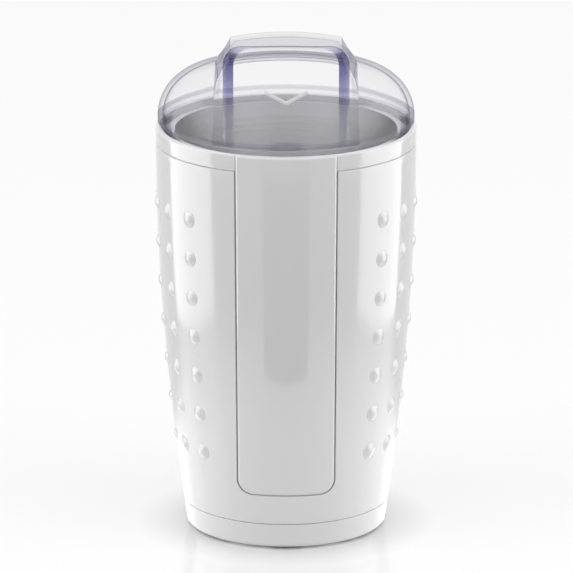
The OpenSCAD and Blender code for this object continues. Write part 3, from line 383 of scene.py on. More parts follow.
def clear_plastic(name, absorb, density, rim=(0.11, 0.10, 0.19), painted_rim_range=(0.72, 0.92)):
    """Clear moulded plastic, its violet tint growing with the length of the way through.

    Light that leaves it from within and light from the lamps pass straight through, so that thin
    walls seen end-on keep their tint and what is inside stays lit. Over the painted rim range of
    slants, from face-on 0 to edge-on 1, what comes through darkens to the rim colour: painted shade
    on the edges, in place of the darker surroundings that real plastic refracts there.
    """
    material, nodes, links, shader = new_material(name)
    # Painted edge shade: the colour that comes through darkens to the rim colour at grazing slants
    slant = nodes.new("ShaderNodeLayerWeight")
    slant.inputs["Blend"].default_value = 0.5
    painted_rim_mask = smooth_range(nodes, links, slant.outputs["Facing"], *painted_rim_range, 0.0, 1.0)
    links.new(tint(nodes, links, painted_rim_mask, (1, 1, 1), rim), shader.inputs["Base Color"])
    shader.inputs["Transmission Weight"].default_value = 1.0
    shader.inputs["IOR"].default_value = 1.01
    shader.inputs["Coat Weight"].default_value = 0.3
    shader.inputs["Coat IOR"].default_value = 1.5
    shader.inputs["Coat Roughness"].default_value = 0.02
    flow = noise(nodes, links, 60, 2)
    links.new(spread(nodes, links, flow, 0.0, 0.015), shader.inputs["Roughness"])
    bump(nodes, links, noise(nodes, links, 45, 1), shader, 0.2, 2e-5)
    path = nodes.new("ShaderNodeLightPath")
    side = nodes.new("ShaderNodeNewGeometry")
    passes = math_node(nodes, links, "MAXIMUM", path.outputs["Is Shadow Ray"], side.outputs["Backfacing"])
    mix_with_clear(nodes, links, passes, shader)
    volume = nodes.new("ShaderNodeVolumeAbsorption")
    volume.inputs["Color"].default_value = (*absorb, 1)
    volume.inputs["Density"].default_value = density
    links.new(volume.outputs["Volume"], nodes["Material Output"].inputs["Volume"])
    return material


WHITE = moulded("gloss_white", (0.86, 0.86, 0.865), 0.13, swing=0.012)
PANEL_WHITE = moulded("panel_white", (0.85, 0.85, 0.855), 0.09, swing=0.01)
CLEAR = clear_plastic("clear_lid", (0.40, 0.39, 0.47), 19)
CLEAR_RIB = clear_plastic("clear_lid_rib", (0.12, 0.12, 0.48), 420)
CLEAR_FOOT = clear_plastic("clear_lid_foot", (0.48, 0.46, 0.56), 230)
STEEL = spun_steel("bowl_steel", (0.72, 0.72, 0.73), 0.22)
BLADE_STEEL = metal("blade_steel", (0.68, 0.68, 0.70), 0.25, (1, 25, 1), 250, 0.05)
ZINC = metal("zinc_steel", (0.62, 0.63, 0.65), 0.35)
SHAFT_STEEL = metal("shaft_steel", (0.66, 0.66, 0.68), 0.2, (1, 1, 20))
BLACK_RUBBER = moulded("black_rubber", (0.05, 0.05, 0.055), 0.65, 0.2, 2500, 1e-5, 0.3)
GREY_RUBBER = moulded("grey_rubber", (0.30, 0.30, 0.31), 0.55, 0.1, 2500, 1e-5, 0.35)
BRONZE = metal("bronze", (0.66, 0.48, 0.26), 0.4)
LAMINATION = metal("lamination", (0.25, 0.26, 0.28), 0.5, (1, 1, 60), 60, 0.4)
COPPER_WIRE = metal("copper_wire", (0.60, 0.26, 0.10), 0.3, (1, 1, 40), 80, 0.35)
COPPER_BAR = metal("copper_bar", (0.75, 0.42, 0.26), 0.25, (1, 1, 30))
CARBON = moulded("carbon", (0.06, 0.06, 0.06), 0.5, 0.3)
BROWN = moulded("brown_moulding", (0.16, 0.09, 0.05), 0.4, 0.2)
INNER_PLASTIC = moulded("inner_plastic", (0.72, 0.72, 0.70), 0.4, 0.05)
FAN_PLASTIC = moulded("fan_plastic", (0.80, 0.78, 0.70), 0.45, 0.05)
SWITCH_BLACK = moulded("switch_black", (0.04, 0.04, 0.045), 0.45, 0.2)
SWITCH_RED = moulded("switch_red", (0.55, 0.05, 0.04), 0.4, 0.1)
PRINT_WHITE = moulded("print_white", (0.90, 0.90, 0.90), 0.4, 0.04)

SLOT_MATERIALS = {
    "white_gloss": WHITE, "panel_white": PANEL_WHITE, "clear_lid": CLEAR, "bowl_steel": STEEL,
    "blade_steel": BLADE_STEEL, "zinc_steel": ZINC, "shaft_steel": SHAFT_STEEL,
    "black_rubber": BLACK_RUBBER, "grey_rubber": GREY_RUBBER, "bronze": BRONZE,
    "lamination": LAMINATION, "copper_wire": COPPER_WIRE, "copper_bar": COPPER_BAR,
    "carbon": CARBON, "brown_moulding": BROWN, "inner_plastic": INNER_PLASTIC,
    "fan_plastic": FAN_PLASTIC, "switch_black": SWITCH_BLACK, "switch_red": SWITCH_RED,
}
for part in frame["record"]["subparts"]:
    cad_node = frame["nodes"][part["node"]]
    cad_node.data.materials.clear()
    cad_node.data.materials.append(SLOT_MATERIALS[part["material_slot"]])


# ---- Housing: one closed skin, its panel recess cut in with a rounded edge ----

SIDE_STEPS = 44
FLOOR_COLS = 16
ARC_STEPS = 20
BLEND_RINGS = 5
BACK_COLS = 120
INNER_ROWS = 10
LOW_ROWS = 3
FIELD_X = PANEL_FIELD[1]
FIELD_LOW = BODY_Z + 5.0
CORNER_Z = BODY_Z + PANEL_LOW + PANEL_CORNER_R
RECESS_RIM = PANEL_GAP + EDGE_R + 0.25


def edge_levels(z_seam, inward):
    """(height, inset) rows of a rounded edge at a seam, from its inner wall to the side."""
    rows = [(z_seam, WALL), (z_seam, SEAM + EDGE_R)]
    for a in np.radians(np.linspace(0, 90, 5)):
        z = z_seam - inward * (EDGE_R * (1 - math.cos(a)) + SEAM / 2)
        rows.append((z, EDGE_R * (1 - math.sin(a))))
    return rows


def recess_path(grow):
    """The recess outline from its top left, round the bottom, to its top right: (x, z)."""
    half, r = PANEL_HALF + grow, PANEL_CORNER_R + grow
    low = BODY_Z + PANEL_LOW - grow
    left = arc((-(half - r), low + r), r, 180, 270, ARC_STEPS)
    bottom = [(x, low) for x in np.linspace(-(half - r), half - r, FLOOR_COLS + 1)[1:-1]]
    right = [(-x, z) for x, z in reversed(left)]
    return left, bottom, right


def field_path():
    """The outline of the field round the recess, with a point for each of the recess outline's."""
    half_steps = ARC_STEPS // 2
    left, bottom, _ = recess_path(PANEL_GAP)
    down = [(-FIELD_X, z) for z in np.linspace(CORNER_Z, FIELD_LOW, half_steps + 1)]
    down += [(x, FIELD_LOW) for x in np.linspace(-FIELD_X, left[-1][0], half_steps + 1)[1:]]
    return down, [(x, FIELD_LOW) for x, _ in bottom], [(-x, z) for x, z in reversed(down)]


def recess_rings():
    """Outlines from the field in to the recess's floor, each with its depth."""
    field, rim = field_path(), recess_path(RECESS_RIM)
    rings = []
    for k in range(BLEND_RINGS):
        share = k / BLEND_RINGS
        ring = [[(f[0] + (n[0] - f[0]) * share, f[1] + (n[1] - f[1]) * share) for f, n in zip(far, near)]
                for far, near in zip(field, rim)]
        rings.append((ring, 0.0))
    rings.append((rim, 0.0))
    for a in np.radians(np.linspace(0, 90, 4)):
        rings.append((recess_path(PANEL_GAP + EDGE_R * (1 - math.sin(a))), EDGE_R * (1 - math.cos(a))))
    rings.append((recess_path(PANEL_GAP), RECESS_D))
    return rings


def recess_floor(verts, faces, upper, first, count):
    """Rows between the two sides of the ring that starts at first. Gives the top row's numbers."""
    last = len(upper) + ARC_STEPS
    rows = []
    for i in range(last):
        left_id, right_id = first + i, first + count - 1 - i
        depth = max(upper[i][1] if i < len(upper) else 0.0, RECESS_D)
        x0, _, z = verts[left_id]
        inner = [skin(x, z, depth) for x in np.linspace(x0, -x0, FLOOR_COLS + 1)[1:-1]]
        rows.append([left_id] + add(verts, inner) + [right_id])
    rows.append(list(range(first + last, first + count - last)))
    for upper_ids, lower_ids in zip(rows, rows[1:]):
        strip(faces, upper_ids, lower_ids)
    return rows[0]


def back_points(z, inset):
    """Points round the side at a height, from the field's right edge round the back to its left."""
    r = side_r(z) - inset
    edge = math.asin(FIELD_X / r)
    angles = np.linspace(edge, 2 * math.pi - edge, BACK_COLS + 1)[1:-1]
    return [(r * math.sin(a), -r * math.cos(a), z) for a in angles]


def inner_wall(verts, faces, top_loop, low_loop):
    """Rows of points inside the side that join its top loop to its bottom loop."""
    previous = top_loop
    for i in range(1, INNER_ROWS + 1):
        t = i / INNER_ROWS
        loop = low_loop
        if t < 1:
            points = []
            for p, q in zip(top_loop, low_loop):
                a = math.atan2(verts[p][0], -verts[p][1])
                b = math.atan2(verts[q][0], -verts[q][1])
                z = verts[p][2] + (verts[q][2] - verts[p][2]) * t
                angle, r = a + (b - a) * t, side_r(z) - WALL
                points.append((r * math.sin(angle), -r * math.cos(angle), z))
            loop = add(verts, points)
        for j in range(len(loop)):
            k = (j + 1) % len(loop)
            faces.append((previous[j], previous[k], loop[k], loop[j]))
        previous = loop


def housing():
    """One closed skin: the recess with the field round it, the rest of the side, the inner wall."""
    top_rows, low_rows = edge_levels(COLLAR_Z, 1), edge_levels(BODY_Z, -1)
    side_levels = np.linspace(top_rows[-1][0], CORNER_Z, SIDE_STEPS + 1)[1:-1]
    upper = top_rows + [(z, 0.0) for z in side_levels]
    rings = recess_rings()
    verts, faces = [], []
    for (left, bottom, right), depth in rings:
        x = -left[0][0]
        verts += [skin(-x, z, max(d, depth)) for z, d in upper]
        verts += [skin(px, pz, depth) for px, pz in left + bottom + right]
        verts += [skin(x, z, max(d, depth)) for z, d in reversed(upper)]
    count = len(verts) // len(rings)
    faces += grid_faces(len(rings), count, flip=True)
    floor_top = recess_floor(verts, faces, upper, (len(rings) - 1) * count, count)

    levels = upper + [(z, 0.0) for _, z in field_path()[0][:ARC_STEPS // 2 + 1]]
    back_rows = []
    for i, (z, d) in enumerate(levels):
        back_rows.append([count - 1 - i] + add(verts, back_points(z, d)) + [i])
    for upper_ids, lower_ids in zip(back_rows, back_rows[1:]):
        strip(faces, upper_ids, lower_ids)

    field_foot = list(range(len(levels) - 1, count - len(levels) + 1))
    xs = [verts[k][0] for k in field_foot]
    below = [(z, 0.0) for z in np.linspace(FIELD_LOW, low_rows[-1][0], LOW_ROWS + 1)[1:-1]]
    last_loop = field_foot + back_rows[-1][1:-1]
    for z, d in below + low_rows[::-1]:
        loop = add(verts, [skin(x, z, d) for x in xs] + back_points(z, d))
        strip(faces, last_loop, loop, closed=True)
        last_loop = loop

    left_top = [k * count for k in range(len(rings))]
    right_top = [k * count + count - 1 for k in reversed(range(len(rings)))]
    top_loop = left_top + floor_top[1:-1] + right_top + back_rows[0][1:-1]
    inner_wall(verts, faces, top_loop, last_loop)
    mesh_object("housing", verts, faces, "base", WHITE, ["body_shell"])


def grip_bumps():
    """Low domes on the housing's sides, each blended into the skin at its foot."""
    spokes, rings = 32, 9
    cap_r = (BUMP_R ** 2 + BUMP_H ** 2) / (2 * BUMP_H)
    profile = [(0.0, BUMP_H)]
    for rho in np.linspace(0, BUMP_R, rings)[1:-1]:
        profile.append((rho, math.sqrt(cap_r ** 2 - rho ** 2) - cap_r + BUMP_H))
    profile += [(BUMP_R + BUMP_BLEND * share, h) for share, h in BUMP_FOOT] + [(BUMP_R, BUMP_ROOT)]
    verts, faces = [], []
    for side in (-1, 1):
        for col in range(BUMP_COLS):
            angle = math.radians(side * (BUMP_ANGLE + col * BUMP_STEP))
            for row in range(BUMP_ROWS):
                z = BODY_Z + BUMP_LOW + row * BUMP_PITCH
                start = len(verts)
                for rho, h in profile:
                    for k in range(1 if rho == 0 else spokes):
                        turn = 2 * math.pi * k / spokes
                        dz = rho * math.sin(turn)
                        r = side_r(z + dz) + h
                        a = angle + rho * math.cos(turn) / side_r(z)
                        verts.append((r * math.sin(a), -r * math.cos(a), z + dz))
                ring = start + 1
                faces += [(start, ring + k, ring + (k + 1) % spokes) for k in range(spokes)]
                faces += grid_faces(len(profile) - 1, spokes, ring, wrap_cols=True, flip=True)
                last = ring + (len(profile) - 2) * spokes
                foot_r = side_r(z) + BUMP_ROOT
                faces += [(len(verts), last + (k + 1) % spokes, last + k) for k in range(spokes)]
                verts.append((foot_r * math.sin(angle), -foot_r * math.cos(angle), z))
    mesh_object("grip_bumps", verts, faces, "base", WHITE)


# ---- Front panel ----

def panel_outline(shrink, top, rows, arc_steps, cols):
    """The panel's outline, smaller all round by the shrink: left side, bottom, right side, head."""
    half, r = PANEL_HALF - shrink, PANEL_CORNER_R - shrink
    low = BODY_Z + PANEL_LOW + shrink
    left = [(-half, z) for z in np.linspace(top - shrink, low + r, rows + 1)[:-1]]
    left += arc((-(half - r), low + r), r, 180, 270, arc_steps)
    bottom = [(x, low) for x in np.linspace(-(half - r), half - r, cols + 1)[1:-1]]
    right = [(-x, z) for x, z in reversed(left)]
    head = [(x, top - shrink) for x in np.linspace(half, -half, cols + 1)[1:-1]]
    return left, bottom, right, head


def front_panel():
    """A closed strip with a rounded rim that follows the housing's side."""
    rows, arc_steps, cols, edge_steps = 60, 12, 20, 6
    top_gap, back_gap, border = 0.05, 0.02, 0.3
    top, back = RIM_Z - top_gap, RECESS_D - back_gap
    steps = [(0.0, back), (0.0, PANEL_EDGE_R - PANEL_PROUD)]
    for a in np.radians(np.linspace(0, 90, edge_steps + 1)[1:]):
        steps.append((PANEL_EDGE_R * (1 - math.cos(a)), PANEL_EDGE_R * (1 - math.sin(a)) - PANEL_PROUD))
    steps.append((PANEL_EDGE_R + border, -PANEL_PROUD))
    verts, faces = [], []
    for shrink, inset in steps:
        left, bottom, right, head = panel_outline(shrink, top, rows, arc_steps, cols)
        verts += [skin(x, z, inset) for x, z in left + bottom + right + head]
    count = len(left) + len(bottom) + len(right) + len(head)
    faces += grid_faces(len(steps), count, wrap_cols=True, flip=True)

    def fill(ring_start, inset, flip):
        """Rows between the left and right sides of a ring, the top and bottom rows shared."""
        n = len(left)
        first = [ring_start] + [ring_start + count - k for k in range(1, cols)]
        first.append(ring_start + n + len(bottom) + n - 1)
        ids_rows = [first]
        for i in range(1, n):
            a, b = ring_start + i, ring_start + 2 * n + len(bottom) - 1 - i
            if i == n - 1:
                ids_rows.append(list(range(a, b + 1)))
                break
            inner = np.linspace(verts[a][0], verts[b][0], cols + 1)[1:-1]
            ids_rows.append([a] + add(verts, [skin(x, verts[a][2], inset) for x in inner]) + [b])
        for upper_ids, lower_ids in zip(ids_rows, ids_rows[1:]):
            strip(faces, upper_ids, lower_ids, flip=flip)

    fill((len(steps) - 1) * count, -PANEL_PROUD, False)
    fill(0, back, True)
    mesh_object("front_panel_skin", verts, faces, "base", PANEL_WHITE, ["front_panel"])


# ---- Collar and base, turned profiles with rounded edges ----

CHANNEL_Z = COLLAR_Z + 1
BOWL_RING_T, BOWL_RIM_T = 1.4, 0.8
COLLAR_DECK = 2.8
SPIGOT_GAP, SPIGOT_T, SPIGOT_H = 0.15, 1.6, 3.0
COLLAR_EDGE_R, CHANNEL_EDGE_R = 0.5, 0.3
COLLAR_LIFT = 0.02
COLLAR_STEP_GAP = 0.12


def collar_profile():
    """(radius, height) points of the ring: its side, the lid's channel, the bowl's ring, a spigot."""
    foot_z = COLLAR_Z + COLLAR_LIFT
    channel_ri = CHANNEL_RO - CHANNEL_W
    bowl_ring_ri = channel_ri - BOWL_RING_T
    under = CHANNEL_Z - COLLAR_DECK
    spigot_ro = BODY_R - WALL - SPIGOT_GAP
    spigot_ri = spigot_ro - SPIGOT_T
    flange_z = node_box("grinding_bowl")[1][2] - BOWL_RIM_T
    small = CHANNEL_EDGE_R
    profile = [(BODY_R - SEAM - EDGE_R, foot_z)]
    profile += arc((BODY_R - EDGE_R, COLLAR_Z + SEAM / 2 + EDGE_R), EDGE_R, -90, 0, 4)
    profile += [(BODY_R, COLLAR_Z + 2), (BODY_R, RIM_Z - 2)]
    profile += arc((BODY_R - COLLAR_EDGE_R, RIM_Z - COLLAR_EDGE_R), COLLAR_EDGE_R, 0, 90, 5)
    profile += arc((CHANNEL_RO + small, RIM_Z - small), small, 90, 180, 3)
    profile += [(CHANNEL_RO, CHANNEL_Z), (channel_ri, CHANNEL_Z)]
    profile += arc((channel_ri - small, flange_z - small), small, 0, 90, 3)
    profile += [(bowl_ring_ri, flange_z), (bowl_ring_ri, under), (spigot_ri, under)]
    profile += [(spigot_ri, under - SPIGOT_H), (spigot_ro, under - SPIGOT_H), (spigot_ro, foot_z)]
    return profile


def collar_angles():
    """(angle, depth) points round the ring, with the step in behind the panel."""
    half = PANEL_HALF + COLLAR_STEP_GAP
    step = [(half + EDGE_R * (1 - math.sin(a)), EDGE_R * (1 - math.cos(a)))
            for a in np.radians(np.linspace(0, 90, 5))]
    step.append((half - COLLAR_LIFT, RECESS_D))
    edge = [(math.asin(x / BODY_R), depth) for x, depth in step]
    flat = math.asin(half / BODY_R)
    front = [(-a, d) for a, d in edge] + [(a, RECESS_D) for a in np.linspace(-flat, flat, 18)[1:-1]]
    front += edge[::-1]
    start = front[-1][0]
    return front + [(a, 0.0) for a in np.linspace(start, 2 * math.pi - start, 150)[1:-1]]


def collar():
    """The ring round the lid, stepped back behind the panel."""
    profile, angles = collar_profile(), collar_angles()
    verts = []
    for a, depth in angles:
        for r, z in profile:
            r = min(r, BODY_R - depth)
            verts.append((r * math.sin(a), -r * math.cos(a), z))
    faces = grid_faces(len(angles), len(profile), wrap_cols=True, wrap_rows=True)
    mesh_object("collar_skin", verts, faces, "base", WHITE, ["collar_ring"])


# ---- Lid: an outer and an inner skin over the same plan ----

LID_ROWS = 150
LID_WALL_ROWS = 24
OUTER_COLS, SIDE_COLS, FLANK_COLS, MIDDLE_COLS = 33, 13, 21, 17
SIDE_X, SIDE_STRIP, FLANK_X = 26.3, 1.2, 19.0
# The block's half width at heights from its top
BLOCK_SIDE = [(19.7, 0.5), (20.4, -3.0), (22.4, -8.5), (24.7, -13.2), (25.6, -17.0), (25.95, -21.0),
              (26.25, -40.0)]
BLOCK_CROWN_R = 104
BLOCK_TOP_Y = -19.6
BLOCK_REAR_Y = 8
BLOCK_EDGE_R = 6.5
BLOCK_SIDE_EDGE_R = 1.2
BLOCK_ROUND_X = (17.0, 22.5)
TOP_BLEND, SIDE_BLEND, DOME_BLEND = 0.8, 1.8, 0.8
OUTSIDE_DROP, OUTSIDE_SLOPE, INSIDE_SLOPE = 10, 40, 8


def smooth_max(a, b, k):
    """The larger of two heights, blended over k where they are close."""
    h = np.clip(0.5 + 0.5 * (a - b) / k, 0, 1)
    return b + (a - b) * h + k * h * (1 - h)


def smooth_min(a, b, k):
    """The smaller of two heights, blended over k where they are close."""
    return -smooth_max(-a, -b, k)


def dome_z(r, inset):
    """Height of the dome over a radius: a crown arc tangent to the shoulder's arc."""
    lid_r, shoulder = LID_R - inset, SHOULDER_R - inset
    z_shoulder = RIM_Z + LID_WALL_H
    flat_r = lid_r - shoulder
    rise = RIM_Z + DOME_H - inset - z_shoulder
    crown = (rise ** 2 + flat_r ** 2 - shoulder ** 2) / (2 * (rise - shoulder))
    zc = z_shoulder + rise - crown
    join = math.atan2(z_shoulder - zc, flat_r)
    join_r = flat_r + shoulder * math.cos(join)
    over = zc + np.sqrt(np.maximum(crown ** 2 - r ** 2, 0))
    side = z_shoulder + np.sqrt(np.maximum(shoulder ** 2 - (r - flat_r) ** 2, 0))
    return np.where(r < join_r, over, side)


def block_z(x, y, r, inset, lid_r):
    """Height of the push block: crowned top, rear slope, flared sides, rounded front edge."""
    across = np.abs(x)
    crown = BLOCK_Z - inset - x ** 2 / (2 * BLOCK_CROWN_R)
    slope = (BLOCK_Z - RIM_Z - DOME_H) / (BLOCK_REAR_Y - BLOCK_TOP_Y)
    top = smooth_min(crown, crown - slope * (y - BLOCK_TOP_Y), TOP_BLEND)
    xs = np.array([p[0] for p in BLOCK_SIDE]) - inset
    zs = BLOCK_Z + np.array([p[1] for p in BLOCK_SIDE])
    side = np.interp(across, xs, zs - inset * 0.3)
    side = np.where(across > xs[-1], RIM_Z - OUTSIDE_DROP - OUTSIDE_SLOPE * (across - xs[-1]), side)
    side = np.where(across < xs[0], zs[0] + INSIDE_SLOPE * (xs[0] - across), side)
    z = smooth_min(top, side, SIDE_BLEND - inset * 0.4)
    start, end = BLOCK_ROUND_X
    beside = np.clip((across - start) / (end - start), 0, 1)
    sharper = (BLOCK_SIDE_EDGE_R - BLOCK_EDGE_R) * beside * (1 - inset / BLOCK_EDGE_R)
    round_r = BLOCK_EDGE_R - inset + sharper
    over = np.clip((r - (lid_r - round_r)) / round_r, 0, 1)
    return z - round_r * (1 - np.sqrt(1 - over ** 2))


def lid_columns(lid_r, inset):
    """Column positions across the lid, closer together along the block's sides."""
    edge, fine = SIDE_X - inset, FLANK_X - inset
    angle = math.degrees(math.asin(edge / lid_r))
    outer = [lid_r * math.sin(math.radians(a)) for a in np.linspace(90, angle, OUTER_COLS + 1)]
    side = list(np.linspace(edge, edge - SIDE_STRIP, SIDE_COLS + 1))[1:]
    flank = list(np.linspace(edge - SIDE_STRIP, fine, FLANK_COLS + 1))[1:]
    middle = list(np.linspace(fine, 0, MIDDLE_COLS + 1))[1:]
    half = outer + side + flank + middle
    return np.array([-x for x in half] + half[-2::-1])


def lid_skin(inset):
    """Points of one of the dome's skins: rows over each column of the plan."""
    lid_r = LID_R - inset
    xs = lid_columns(lid_r, inset)
    vs = np.sin(np.linspace(-1, 1, LID_ROWS + 1) * math.pi / 2)
    X = np.repeat(xs[:, None], LID_ROWS + 1, axis=1)
    Y = np.sqrt(np.maximum(lid_r ** 2 - X ** 2, 0)) * vs[None, :]
    R = np.minimum(np.hypot(X, Y), lid_r)
    Z = smooth_max(dome_z(R, inset), block_z(X, Y, R, inset, lid_r), DOME_BLEND + inset * 0.5)
    return X, Y, Z


def dome_patch(verts, faces, inset, flip):
    """One skin of the dome, with a fan at each end. Gives the numbers of its rim."""
    X, Y, Z = lid_skin(inset)
    cols, rows = X.shape
    inside = [(X[i, j], Y[i, j], Z[i, j]) for i in range(1, cols - 1) for j in range(rows)]
    ids = np.array(add(verts, inside)).reshape(cols - 2, rows)
    west, east = add(verts, [(X[0, 0], 0.0, Z[0, 0]), (X[-1, 0], 0.0, Z[-1, 0])])
    for i in range(cols - 3):
        strip(faces, ids[i], ids[i + 1], flip=flip)
    for j in range(rows - 1):
        for fan in ((west, ids[0, j], ids[0, j + 1]), (east, ids[-1, j + 1], ids[-1, j])):
            faces.append(fan[::-1] if flip else fan)
    return [west] + list(ids[:, 0]) + [east] + list(ids[::-1, -1])


def wall_down(verts, faces, rim, flip):
    """The wall from the rim straight down to the lid's bottom. Gives the lowest loop."""
    loop = rim
    for k in range(1, LID_WALL_ROWS + 1):
        points = []
        for v in rim:
            x, y, z = verts[v]
            points.append((x, y, z + (LID_BOTTOM_Z - z) * k / LID_WALL_ROWS))
        new = add(verts, points)
        strip(faces, loop, new, closed=True, flip=flip)
        loop = new
    return loop


def lid():
    """The dome's two skins and their walls, joined by the skirt that goes down between them."""
    chamfer = 0.3
    verts, faces, loops = [], [], []
    for inset, flip in ((0.0, False), (LID_WALL, True)):
        loops.append(wall_down(verts, faces, dome_patch(verts, faces, inset, flip), flip))
    outer_loop, inner_loop = loops
    angles = [math.atan2(verts[v][1], verts[v][0]) for v in outer_loop]
    previous = outer_loop
    for r, z in ((SKIRT_RO, LID_BOTTOM_Z), (SKIRT_RO, SKIRT_Z + chamfer), (SKIRT_RO - chamfer, SKIRT_Z),
                 (SKIRT_RI + chamfer, SKIRT_Z), (SKIRT_RI, SKIRT_Z + chamfer)):
        new = add(verts, [(r * math.cos(a), r * math.sin(a), z) for a in angles])
        strip(faces, previous, new, closed=True)
        previous = new
    strip(faces, previous, inner_loop, closed=True)
    mesh_object("lid_clear", verts, faces, "lid", CLEAR, ["lid_shell"])


ARCH_HALF = 18.8
ARCH_CORNER_R = 7.0
ARCH_TOP_Z = BLOCK_Z - 0.8
RIB_T, BEAD_T = 3.8, 0.4
SHOULDER_D, FOOT_D, BEAD_D = 5.5, 0.5, 1.6
RIB_SET_IN, BEAD_SET_IN = 1.1, 1.5
RIB_FOOT_Z, RIB_NARROW_Z = LID_BOTTOM_Z + 0.6, RIM_Z + 6


def block_front_r(x, z):
    """The radius of the block's front at a height: its upper edge rounds back."""
    crown = BLOCK_Z - x * x / (2 * BLOCK_CROWN_R)
    over = min(max(z - (crown - BLOCK_EDGE_R), 0), BLOCK_EDGE_R)
    return LID_R - BLOCK_EDGE_R + math.sqrt(BLOCK_EDGE_R ** 2 - over ** 2)


def window_frame():
    """The arch round the block's window: ribs deep at their shoulders, a thin bead over the top."""
    straight_top = ARCH_TOP_Z - ARCH_CORNER_R
    corner_x = ARCH_HALF - ARCH_CORNER_R
    left = [(-ARCH_HALF, z, -1.0, 0.0) for z in np.linspace(RIB_FOOT_Z, straight_top, 25)]
    for a in np.radians(np.linspace(180, 90, 17))[1:]:
        nx, nz = math.cos(a), math.sin(a)
        left.append((nx * ARCH_CORNER_R - corner_x, straight_top + nz * ARCH_CORNER_R, nx, nz))
    top = [(x, ARCH_TOP_Z, 0.0, 1.0) for x in np.linspace(left[-1][0], 0, 9)[1:]]
    half = left + top
    path = half + [(-x, z, -nx, nz) for x, z, nx, nz in reversed(half[:-1])]
    verts = []
    for x, z, nx, nz in path:
        side = abs(nx)
        thick = BEAD_T + (RIB_T - BEAD_T) * side ** 2.5
        rise = np.clip((z - RIB_NARROW_Z) / (straight_top - RIB_NARROW_Z), 0, 1)
        rib_d = FOOT_D + (SHOULDER_D - FOOT_D) * rise ** 1.6
        depth = BEAD_D + (rib_d - BEAD_D) * side ** 6
        set_in = BEAD_SET_IN + (RIB_SET_IN - BEAD_SET_IN) * side
        low = z - x * x / (2 * BLOCK_CROWN_R) * (1 - side)
        for grow, back in ((0, 0), (0, depth), (thick, depth), (thick, 0)):
            px, pz = x + nx * grow, low + nz * grow
            r = block_front_r(px, pz) - set_in
            verts.append((px, back - math.sqrt(r ** 2 - px ** 2), pz))
    ends = [(0, 1, 2, 3), tuple(len(verts) - 1 - k for k in range(4))]
    faces = grid_faces(len(path), 4, wrap_cols=True) + ends
    mesh_object("lid_window_frame", verts, faces, "lid", CLEAR_RIB)


RING_FOOT_H = 0.5
RING_OUTER_H, RING_WALL_H, RING_INNER_H = 1.6, 2.2, 1.0


def foot_ring():
    """The thick foot of the lid, where its wall steps in to the skirt."""
    bury = 0.35
    low, step = SKIRT_Z + RING_FOOT_H, LID_BOTTOM_Z + bury
    inner, outer, edge = SKIRT_RI + bury, SKIRT_RO - bury, LID_R - bury
    profile = [(inner, low), (outer, low), (outer, step), (edge, step), (edge, LID_BOTTOM_Z + RING_OUTER_H)]
    profile += [(LID_R - LID_WALL + bury, LID_BOTTOM_Z + RING_WALL_H), (inner, LID_BOTTOM_Z + RING_INNER_H)]
    verts, faces = revolve(profile, 180)
    mesh_object("lid_foot_ring", verts, faces, "lid", CLEAR_FOOT)


def front_patch(name, outline, r_out, r_in, material):
    """An outline of (x, z) points on the lid's front, as thick as the two radii say."""
    n = len(outline)
    verts = [(x, -math.sqrt(r * r - x * x), z) for r in (r_out, r_in) for x, z in outline]
    faces = grid_faces(2, n, wrap_cols=True)
    for first, flip in ((0, False), (n, True)):
        for j in range(n // 2 - 1):
            quad = (first + j, first + j + 1, first + n - 2 - j, first + n - 1 - j)
            faces.append(quad[::-1] if flip else quad)
    mesh_object(name, verts, faces, "lid", material)


def press_mark():
    """A plain chevron that points down, printed on the front of the block."""
    half_w, drop, bar, z_mid = 8.0, 4.2, 1.5, BLOCK_Z - 17.7
    proud, sunk = 0.04, 0.05
    xs = np.linspace(-half_w, half_w, 17)
    upper = [(x, z_mid + drop * (abs(x) / half_w - 0.5) + bar / 2) for x in xs]
    lower = [(x, z - bar) for x, z in reversed(upper)]
    front_patch("press_mark", upper + lower, LID_R + proud, LID_R - sunk, PRINT_WHITE)


def lug():
    """The lug behind the wall's foot that presses the rod."""
    foot_w, top_w, low, high = 7.3, 4.4, LID_BOTTOM_Z + 0.3, LID_BOTTOM_Z + 3.4
    bury, thick = 0.4, 1.2
    wall_ri = LID_R - LID_WALL
    upper = [(x, high) for x in np.linspace(-top_w, top_w, 9)]
    lower = [(x * foot_w / top_w, low) for x, _ in reversed(upper)]
    front_patch("lid_lug", upper + lower, wall_ri + bury, wall_ri - thick, CLEAR_FOOT)


# ---- Base: the cover with its lower edge rounded ----

COVER_EDGE_R, COVER_SKIM = 0.6, 0.06
COVER_ENTRY = 75
COVER_ROW_GAP = 0.3


def cutter_outline():
    """(radius, height) points of the cutter, and the radius where it meets the cover's underside.

    It comes in from below at a slant, goes up just inside the cover's side with both edges round,
    and leaves the cover's inside as it is.
    """
    below, above, wall_gap = 1.0, 20, 0.05
    edge_z, top_z = BASE_Z + COVER_EDGE_R, BODY_Z - SEAM / 2 + 0.1
    edge_r, top_r = side_r(edge_z) - COVER_SKIM, side_r(top_z) - COVER_SKIM
    low_edge = arc((edge_r - COVER_EDGE_R, edge_z), COVER_EDGE_R, -COVER_ENTRY, 0, 8)
    foot_r, foot_z = low_edge[0]
    entry_r = foot_r - below / math.tan(math.radians(90 - COVER_ENTRY))
    outline = [(0, foot_z - below), (entry_r, foot_z - below)] + low_edge
    for z in (edge_z + COVER_ROW_GAP, top_z - EDGE_R - COVER_ROW_GAP):
        outline.append((side_r(z) - COVER_SKIM, z))
    outline += arc((top_r - EDGE_R, top_z - EDGE_R), EDGE_R, 0, 90, 4)
    wall_ri = side_r(BODY_Z) - WALL - wall_gap
    outline += [(wall_ri, top_z), (wall_ri, BODY_Z + above), (0, BODY_Z + above)]
    return outline, foot_r


